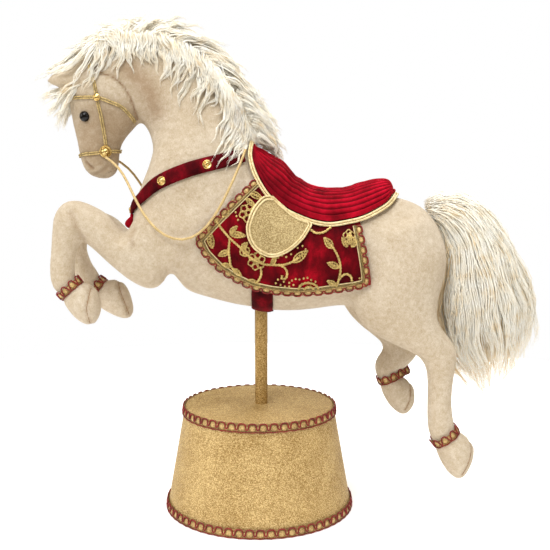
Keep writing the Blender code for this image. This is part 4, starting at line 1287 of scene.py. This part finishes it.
def make_stand():
    """The drum with its bevelled top, the pole, and the drum's two braided trims."""
    top, foot, bevel = DRUM_TOP_RADIUS, DRUM_FOOT_RADIUS, 2 * MM
    profile = [(0, DRUM_HEIGHT), (top * 0.5, DRUM_HEIGHT), (top - bevel, DRUM_HEIGHT)]
    for turn in (22.5, 45, 67.5, 90):
        out, up = math.sin(math.radians(turn)), math.cos(math.radians(turn))
        profile.append((top - bevel + bevel * out, DRUM_HEIGHT - bevel * (1 - up)))
    profile += [(drum_radius(z), z) for z in np.linspace(DRUM_HEIGHT - 6 * MM, 1 * MM, 9)]
    profile += [(foot - 0.4 * MM, 0), (foot * 0.5, 0), (0, 0)]
    piece(mesh_object("drum_cover", spun(profile, 128)), GLITTER, "gold_glitter", "drum")
    low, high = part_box("pole")
    radius = (high.x - low.x) / 2
    bm = spun([(0, high.z), (radius, high.z), (radius, low.z), (0, low.z)], 48)
    bmesh.ops.translate(bm, vec=((low.x + high.x) / 2, 0, 0), verts=bm.verts)
    pole = mesh_object("pole_tube", bm)
    pole.data.set_sharp_from_angle(angle=math.radians(40))
    piece(pole, GILT, "gold_glitter", "pole")
    slope = (foot - top) / DRUM_HEIGHT
    turns = np.arange(192) / 192 * math.tau
    out = np.stack([np.cos(turns), np.sin(turns), np.zeros(192)], 1)
    normals = (out + np.array((0, 0, slope))) / math.hypot(1, slope)
    across = unit(np.array((0, 0, 1)) - out * slope)
    for name, base in (("drum_top", DRUM_HEIGHT - TRIM_HEIGHT), ("drum_foot", 0)):
        z = base + TRIM_HEIGHT / 2
        places = out * (drum_radius(z) + 0.3 * MM) + np.array((0, 0, z))
        node = name + "_trim"
        cuff(name + "_ribbon", places, normals, across, TRIM_HEIGHT, node)
        gimp(name + "_braid", places + normals * 0.5 * MM, normals, across, TRIM_HEIGHT, True, node)


# ---- hair
def strand_section():
    """A three-sided section for strands."""
    curve = bpy.data.curves.new("strand_section", "CURVE")
    curve.dimensions = "2D"
    spline = curve.splines.new("POLY")
    spline.points.add(2)
    for knot, turn in zip(spline.points, (90, 210, 330)):
        knot.co = (math.cos(math.radians(turn)), math.sin(math.radians(turn)), 0, 1)
    spline.use_cyclic_u = True
    obj = bpy.data.objects.new("strand_section", curve)
    link(obj)
    return obj


def hair(name, locks, thickness, finish, node):
    """All the locks' strands as one mesh of tapered three-sided cords."""
    strands = np.concatenate(locks)
    section = strand_section()
    section.scale = (thickness / 2,) * 3
    bpy.context.view_layer.update()
    shares = np.linspace(0, 1, strands.shape[1])
    taper = np.interp(shares, (0, 0.15, 0.5, 0.8, 1), (0.8, 1.0, 0.95, 0.6, 0.1))
    guides = cords(name, list(strands), 0, radii=lambda count: taper)
    guides.data.bevel_mode = "OBJECT"
    guides.data.bevel_object = section
    link(guides)
    graph = bpy.context.evaluated_depsgraph_get()
    mesh = bpy.data.meshes.new_from_object(guides.evaluated_get(graph))
    bpy.data.objects.remove(guides)
    bpy.data.objects.remove(section)
    bm = bmesh.new()
    bm.from_mesh(mesh)
    bmesh.ops.remove_doubles(bm, verts=bm.verts, dist=1e-6)
    bmesh.ops.recalc_face_normals(bm, faces=bm.faces)
    bm.to_mesh(mesh)
    bm.free()
    mesh.shade_smooth()
    piece(bpy.data.objects.new(name, mesh), finish, "ivory_fur", node)


def lock(guide, count, root, tip, ragged, frizz, points):
    """Strands that start spread out round a guide and close up to a point at its tip."""
    guide = spaced(guide, 16)
    run = unit(np.gradient(guide, axis=0))
    first = unit(np.cross(run, (0.2, 1, 0.1)))
    second = np.cross(run, first)
    shares = np.linspace(0, 1, 16)
    spread = root * (1 - shares) ** 1.25 + tip + 0.12 * root * np.sin(math.pi * shares)
    strands = np.zeros((count, points, 3))
    for k in range(count):
        reach = math.sqrt(DRAW.random())
        turn = DRAW.random() * math.tau
        stray = 1 + 3 * (DRAW.random() > 0.9)
        out = first * (math.cos(turn) * reach) + second * (math.sin(turn) * reach)
        swings = np.sin(math.tau * (shares * DRAW.uniform(1.5, 3) + DRAW.random()))
        curl = (frizz * stray * shares * swings)[:, None]
        drift = first * curl * DRAW.uniform(-1, 1) + second * curl * DRAW.uniform(-1, 1)
        line = guide + out * spread[:, None] * (1 + 0.3 * (stray > 1)) + drift
        end = 1 - ragged * DRAW.random() ** 1.6
        strands[k] = sampled(np.linspace(0, end, points), shares, line)
    return strands


def wavy(guide, height, wave, phase):
    """A guide that swings in the side view, a full swing every wave metres, more towards its tip."""
    guide = np.asarray(guide)
    run = np.gradient(guide, axis=0)
    across = np.stack([run[:, 2], run[:, 1] * 0, -run[:, 0]], 1)
    across /= norm(across, axis=1)[:, None] + 1e-9
    down = distances(guide)
    swing = height * (down / down[-1]) ** 0.6 * np.sin(math.tau * down / wave + phase)
    return guide + across * swing[:, None]


def scattered(points, spread):
    """Points that are each moved a little, by a normal draw in millimetres."""
    points = np.asarray(points, float)
    return points + DRAW.normal(0, spread * MM, points.shape)


# Locks along the neck, in the side view: where one leaves the parting, its swings and its tip
MANE_ROWS = [
    ((-153, 461), (-157, 450), (-162, 435), (-169, 422), (-176, 410)),
    ((-147, 462), (-148, 450), (-153, 436), (-159, 425), (-163, 418)),
    ((-143, 465), (-140, 457), (-141, 447), (-146, 438), (-152, 432)),
    ((-136, 468), (-134, 459), (-134, 449), (-138, 440), (-146, 433)),
    ((-130, 466), (-129, 457), (-129, 448), (-130, 441), (-132, 435)),
    ((-123, 465), (-123, 457), (-124, 448), (-122, 441), (-119, 434)),
    ((-115, 464), (-114, 457), (-114, 449), (-113, 443), (-112, 437)),
    ((-106, 464), (-107, 456), (-107, 447), (-104, 440), (-100, 433)),
    ((-95, 465), (-91, 456), (-90, 445), (-87, 434), (-86, 420)),
    ((-86, 462), (-82, 453), (-80, 444), (-82, 434), (-86, 425)),
    ((-75, 456), (-72, 442), (-74, 430), (-78, 420), (-77, 408)),
    ((-62, 449), (-57, 438), (-57, 426), (-64, 413), (-67, 402)),
    ((-52, 444), (-49, 429), (-49, 415), (-57, 401), (-58, 388)),
    ((-45, 437), (-38, 420), (-37, 405), (-49, 394), (-53, 380)),
    ((-39, 431), (-30, 410), (-29, 392), (-36, 372), (-44, 354)),
    ((-26, 408), (-18, 392), (-19, 376), (-27, 360), (-36, 342)),
    ((-16, 395), (-12, 379), (-14, 366), (-18, 354), (-25, 343)),
    ((-10, 386), (-5, 377), (-2, 369), (2, 363), (7, 357)),
    ((0, 380), (5, 373), (9, 368), (14, 363), (20, 358)),
]
CREST = [
    (-186, 451), (-175, 463), (-162, 472), (-150, 480), (-136, 485), (-121, 487), (-104, 486),
    (-89, 484), (-76, 479), (-62, 475), (-48, 466), (-32, 452), (-19, 436), (-4, 416), (7, 398),
    (15, 380), (20, 363),
]
# Which way the crest lies, by its share of the way back: -1 forwards, 1 backwards
CREST_LIE = ((0, 0.16, 0.3, 0.4), (-1, -0.9, -0.4, 1))
# Wisps from the poll, round the ears and over the forehead: the points of one as given for the
# left side, how many locks it has, and the sides it is on
FORELOCKS = [
    ([(-156, -2, 468), (-178, -6, 454), (-193, -9, 443), (-203, -12, 436), (-214, -13, 430)], 2, [LEFT]),
    ([(-156, -5, 462), (-177, -12, 446), (-195, -16, 435), (-207, -18, 431), (-215, -19, 425)], 2, [LEFT]),
    ([(-158, 6, 464), (-178, 14, 450), (-195, 18, 438), (-206, 20, 432), (-213, 20, 424)], 3, [LEFT]),
    ([(-146, -9, 468), (-160, -17, 458), (-172, -21, 446), (-184, -22, 436), (-197, -22, 431)], 4, SIDES),
    ([(-172, -1, 448), (-184, -3, 424), (-193, -5, 418), (-204, -6, 416), (-214, -6, 407)], 4, [LEFT]),
    ([(-172, 1, 448), (-184, 0, 421), (-191, -1, 411), (-201, -2, 404), (-207, -2, 398)], 6, [LEFT]),
    ([(-170, -2, 446), (-181, -4, 420), (-188, -6, 406), (-194, -7, 394), (-197, -7, 380)], 5, [LEFT]),
    ([(-170, 2, 446), (-180, 3, 418), (-186, 4, 405), (-190, 4, 396), (-192, 4, 386)], 5, [LEFT]),
    ([(-170, 5, 446), (-181, 8, 420), (-188, 10, 406), (-193, 11, 396), (-196, 11, 384)], 5, [LEFT]),
    ([(-172, -17, 424), (-181, -19, 417), (-189, -18, 410), (-197, -16, 402), (-205, -13, 394)], 4, SIDES),
    ([(-172, -17, 422), (-180, -19, 412), (-187, -18, 402), (-192, -15, 392), (-196, -12, 381)], 4, SIDES),
    ([(-174, -15, 424), (-184, -16, 418), (-194, -16, 414), (-204, -14, 410), (-212, -12, 405)], 3, [LEFT]),
    ([(-150, -10, 468), (-160, -20, 452), (-167, -25, 438), (-173, -27, 426), (-177, -27, 413)], 2, SIDES),
]
# Sections down the tail: its inner and outer edge in the side view, and half its width
TAIL = [
    ((171, 296), (168, 306), 7), ((178, 290), (174, 315), 12), ((184, 281), (190, 319), 16),
    ((188, 268), (210, 316), 20), ((190, 253), (228, 304), 24), ((188, 236), (243, 285), 27),
    ((186, 219), (257, 264), 29), ((184, 200), (268, 245), 30), ((183, 181), (277, 225), 30),
    ((184, 164), (282, 206), 29), ((190, 147), (283, 185), 27), ((200, 130), (279, 165), 24),
    ((211, 117), (270, 146), 21), ((220, 104), (257, 128), 16),
]
# The axis that the tail's backing shrinks towards
TAIL_AXIS = [(171, 301), (190, 302), (212, 286), (228, 256), (234, 222), (236, 190), (238, 165)]
# The turn from one lock to the next, so that they spread evenly round the tail
GOLDEN_ANGLE = 2.399963
# How far in towards the thighs the inner coat reaches, down the tail
TAIL_REACH = ((0, 0.25, 0.42, 0.6, 0.75, 0.9), (0, 0, 15, 22, 15, 2))


# How far forward the mane's soft mass reaches between the ears and at the poll
FORELOCK_LIMIT = (-176, -192)


def hair_base(name, node, shrink):
    """The soft mass under the strands, coloured darker than them as painted shade between the locks."""
    obj = mesh_object(name, node_mesh(node))
    modify(obj, "REMESH", mode="VOXEL", voxel_size=3.2 * MM)
    modify(obj, "SMOOTH", factor=0.5, iterations=8)
    modify(obj, "DISPLACE", strength=-shrink, mid_level=0)
    return piece(settle(obj), FUR_BASE, "ivory_fur", node)


def sink(obj, skin, line, reach):
    """Draws a mass of hair down into the skin, the more the further it is from a line."""
    spots = rows_of(obj.data.vertices, "co")
    found = [skin.nearest(spot) for spot in spots]
    feet, normals = (np.array(part) for part in zip(*found))
    away = near_line(spots[:, [0, 2]], line) / (reach * MM)
    keep = np.clip(0.5 - away, 0, 0.5)
    under = 2.5 * MM * np.clip(away * 4 - 1.2, 0, 1)
    sunk = feet + (spots - feet) * keep[:, None] - normals * under[:, None]
    sunk[:, 0] = np.maximum(sunk[:, 0], np.interp(spots[:, 2] / MM, (440, 452), FORELOCK_LIMIT) * MM)
    move_to(obj.data, sunk)


def gather(obj, line, keep):
    """Draws a form in towards a line in its middle plane, to a share of its thickness."""
    line = through(np.array(line, float) * MM, 20)
    spots = rows_of(obj.data.vertices, "co")
    near = norm(spots[:, None, [0, 2]] - line[None], axis=2).argmin(1)
    middle = np.stack([line[near, 0], near * 0, line[near, 1]], 1)
    move_to(obj.data, middle + (spots - middle) * keep)


def lay_on(cover, path, side, lift):
    """A side-view path laid on what covers the neck, smoothed and lifted clear of it."""
    spots = []
    last = side * 6 * MM
    for x, z in path:
        found = cover.beside(x, z, side)
        if found is None:
            spots.append((x, last, z))
            continue
        place, normal = found
        spots.append(place + normal * np.array((0.3, 1, 0.3)) * lift)
        last = spots[-1][1]
    spots = np.array(spots)
    ease(spots[:, 1], 4)
    return spots


# Layers of a side's mane: the share of locks, the lift in mm, the length and the strands a lock
MANE_LAYERS = [(1.0, 1.2, 1.0, 22), (0.8, 3.0, 0.82, 20), (0.5, 4.8, 0.6, 16)]


def make_mane(cover, side, locks):
    """One side's locks in layers, which all start at the parting."""
    rows = through([[c for spot in row for c in spot] for row in MANE_ROWS], 8) * MM
    starts = norm(np.diff(rows[:, :2], axis=0), axis=1).cumsum()
    strands = []
    for share, lift, reach, count in MANE_LAYERS:
        number = int(locks * share)
        for k in range(number):
            along = (k + DICE.uniform(0.1, 0.9)) / number
            row = rows[int(np.searchsorted(starts, along * starts[-1]))].reshape(-1, 2)
            row = row + np.linspace(-0.2, 1, 5)[:, None] * DRAW.normal(0, 2.6 * MM, 2)
            row = np.vstack([row[0] + (row[0] - row[1]) * 0.6, row])
            path = spaced(through(row, 8), 30)
            length = reach * DICE.uniform(0.75, 1.1)
            if length > 1:
                path = np.vstack([path, path[-1] + (path[-1] - path[-2]) * 3])
            path = path[: max(10, int(30 * length))]
            guide = lay_on(cover, spaced(path, 20), side, (lift + DICE.uniform(0, 2)) * MM)
            guide = wavy(guide, DICE.uniform(1.2, 3) * MM, DICE.uniform(18, 28) * MM,
                         DICE.uniform(0, 6.3))
            strands.append(lock(guide, count, 4.2 * MM, 0.25 * MM, 0.35, 0.7 * MM, 11))
    hair(SIDES[side] + "_mane_locks", strands, 0.74 * MM, FUR, "mane")


def make_crest():
    """The fluff along the top of the neck, which rises from the partings and lies over the top."""
    fine = through(np.array(CREST, float) * MM, 10)
    run = unit(np.gradient(fine, axis=0))
    out = np.stack([-run[:, 1], run[:, 0]], 1)
    strands = []
    locks = 140
    for k in range(locks):
        share = (k + DICE.random()) / locks
        i = min(int(share * len(fine)), len(fine) - 1)
        lie = float(np.interp(share, *CREST_LIE))
        if abs(lie) < 0.5:
            lie = DICE.choice((-0.7, 0.7, 0.3))
        lean = DICE.uniform(-1, 1)
        size = DICE.uniform(0.7, 1.3) * float(np.interp(share, (0.85, 1), (1, 0.65)))
        wisp = DICE.random() ** 2 * 8
        guide = []
        for up, back, wide in [(-16, -9, 15), (-9, -1, 14), (-3, 9, 11), (-1, 20, 8), (-3, 33, 7)]:
            rise = up - 5 * abs(lean) * (up > -5) + wisp * max(back, 0) / 33
            flat = fine[i] + out[i] * rise * MM + run[i] * back * size * lie * MM
            guide.append((flat[0], lean * wide * MM, flat[1]))
        guide = wavy(through(guide, 4), DICE.uniform(0.8, 2.2) * MM, DICE.uniform(18, 30) * MM,
                     DICE.uniform(0, 6.3))
        strands.append(lock(guide, 16, 4.4 * MM, 0.3 * MM, 0.45, 0.9 * MM, 9))
    for row, number, sides in FORELOCKS:
        for side in sides:
            for _ in range(number):
                spots = scattered(vectors(row, side), 1.3)
                guide = wavy(through(spots, 6), DICE.uniform(0.5, 1.5) * MM, 25 * MM, DICE.uniform(0, 6.3))
                strands.append(lock(guide, 13, 3.4 * MM, 0.5 * MM, 0.5, 1.1 * MM, 9))
    hair("crest_and_forelock", strands, 0.7 * MM, FUR, "mane")


def tail_spot(rows, share, depth, width, inset):
    """A point of the tail's form: a share down it, and across its section from -1 to 1."""
    row = rows[min(int(share * (len(rows) - 1)), len(rows) - 1)]
    low, high, half = row[0:2], row[2:4], row[4]
    middle, across = (low + high) / 2, (high - low) / 2
    reach = norm(across)
    flat = middle + across * depth * max(0.3, 1 - inset / reach)
    return np.array((flat[0], width * max(0.3, 1 - inset / half) * half, flat[1]))


def make_tail():
    """Locks in the round, from an outer coat to an inner one that reaches in behind the thighs."""
    rows = through([(*a, *b, half) for a, b, half in TAIL], 20) * MM
    for name, locks, near, far, count, points in (
        ("tail_locks", 110, 0.82, 1.0, 20, 12), ("tail_under_locks", 66, 0.3, 0.85, 17, 8),
    ):
        inside = name == "tail_under_locks"
        strands = []
        for k in range(locks):
            turn = k * GOLDEN_ANGLE
            reach = DICE.uniform(near, far)
            depth, width = math.cos(turn) * reach, math.sin(turn) * reach
            if inside and k % 4 == 0:
                depth, width = -0.8, DICE.uniform(-0.8, 0.6)
            start = DICE.uniform(0.0, 0.04) if k % 3 else DICE.uniform(0.04, 0.3)
            end = 1 - 0.14 * max(depth, 0) ** 1.5 - 0.18 * DICE.random() ** 1.5
            end -= 0.12 * max(-depth - 0.6, 0) / 0.4
            shares = np.linspace(start, end, 18)
            guide = np.array([tail_spot(rows, t, depth, width, 4 * MM) for t in shares])
            if inside and depth < 0:
                guide[:, 0] += np.interp(shares, *TAIL_REACH) * depth * 1.6 * MM
                guide[:, 1] *= 0.6
            flick = np.linspace(0, 1, 18)[:, None] ** 3 * DICE.uniform(-1, 5) * MM
            if not inside:
                guide = guide + flick * np.array((max(depth, 0), width * 0.5, 0))
            guide = wavy(guide, DICE.uniform(3, 5.5) * MM, DICE.uniform(54, 64) * MM,
                         DICE.gauss(2.2 * depth, 0.35))
            strands.append(lock(guide, count, 6 * MM, 1.1 * MM, 0.3, 0.8 * MM, points))
        # The inner coat takes the fur's darker copy, as painted shade
        finish = SHADED_FUR if inside else FUR
        hair(name, strands, 0.85 * MM, finish, "tail")


# ---- light and floor
# The sky is white to the camera, and lights the scene at this strength and tint
SKY_LIGHT = 0.43
SKY_TINT = (1, 0.88, 0.7, 1)
# Each lamp's name, place, size, power and colour, and the point that all of them face
LAMPS = [
    ("key", (-0.5, -1.3, 1.6), 0.8, 21.5, (0.97, 0.99, 1)),
    ("fill", (1.3, -1.1, 0.8), 1.2, 3.8, (1, 1, 1)),
    ("front", (-1.5, -0.3, 0.8), 1.0, 7.5, (1, 0.98, 0.96)),
    ("rim", (0.5, 1.4, 1.3), 1.0, 9, (1, 1, 1)),
    ("top", (0.1, -0.1, 1.7), 1.0, 20.5, (0.95, 0.97, 1)),
]
AIM = Vector((0.02, 0, 0.27))


def make_sky():
    world = bpy.data.worlds.new("studio")
    world.use_nodes = True
    bpy.context.scene.world = world
    tree = world.node_tree
    sky = tree.nodes["Background"]
    seen = tree.nodes.new("ShaderNodeLightPath").outputs["Is Camera Ray"]
    level = tree.nodes.new("ShaderNodeMapRange")
    level.inputs["To Min"].default_value = SKY_LIGHT
    tint = tree.nodes.new("ShaderNodeMix")
    tint.data_type = "RGBA"
    tint.inputs[6].default_value = SKY_TINT
    tint.inputs[7].default_value = (1, 1, 1, 1)
    for source, target in (
        (seen, level.inputs["Value"]), (level.outputs["Result"], sky.inputs["Strength"]),
        (seen, tint.inputs[0]), (tint.outputs[2], sky.inputs["Color"]),
    ):
        tree.links.new(source, target)


def make_stage():
    """The floor, the sky and the lamps."""
    bm = bmesh.new()
    bmesh.ops.create_circle(bm, cap_ends=True, segments=128, radius=0.85)
    floor = mesh_object("floor", bm)
    floor.location.z = -0.0005
    floor.data.materials.append(Paint("studio floor", {
        "Base Color": (0.9, 0.9, 0.9, 1), "Roughness": 0.9, "Specular IOR Level": 0.1,
        "Emission Color": (1, 1, 1, 1), "Emission Strength": 0.35,
    }).made)
    floor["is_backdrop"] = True
    make_sky()
    for name, place, size, power, tint in LAMPS:
        data = bpy.data.lights.new(name, "AREA")
        data.size, data.energy, data.color = size, power, tint
        lamp = bpy.data.objects.new(name, data)
        lamp.location = place
        lamp.rotation_euler = (AIM - lamp.location).to_track_quat("-Z", "Y").to_euler()
        link(lamp)
    bpy.context.scene.view_settings.view_transform = "Standard"


def write_sizes():
    boxes = {"cad": CAD_BOX, "visual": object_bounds()}
    {k: [[float(c) for c in corner] for corner in v] for k, v in boxes.items()}


body = make_body()
skin = Skin(body)
for side in SIDES:
    make_rein(skin, side)
torso = Torso(skin, -66 * MM, 140 * MM)
blanket, size = make_blanket(torso)
make_embroidery(skin)
make_edging(skin)
make_saddle(torso)
make_piping(torso, skin)
for side in SIDES:
    make_flap(skin, side)
collar = make_tack(skin)
make_buttons(skin)
make_tassel()
make_ankles(skin)
make_seams(skin)
make_stand()
mane = hair_base("mane_backing", "mane", 0.5 * MM)
sink(mane, skin, CREST[:-3], 42)
tail = hair_base("tail_backing", "tail", 1.0 * MM)
gather(tail, TAIL_AXIS, 0.45)
cover = Skin(body, mane, collar)
make_mane(cover, LEFT, 56)
make_mane(cover, RIGHT, 30)
make_crest()
make_tail()
make_stage()
write_sizes()
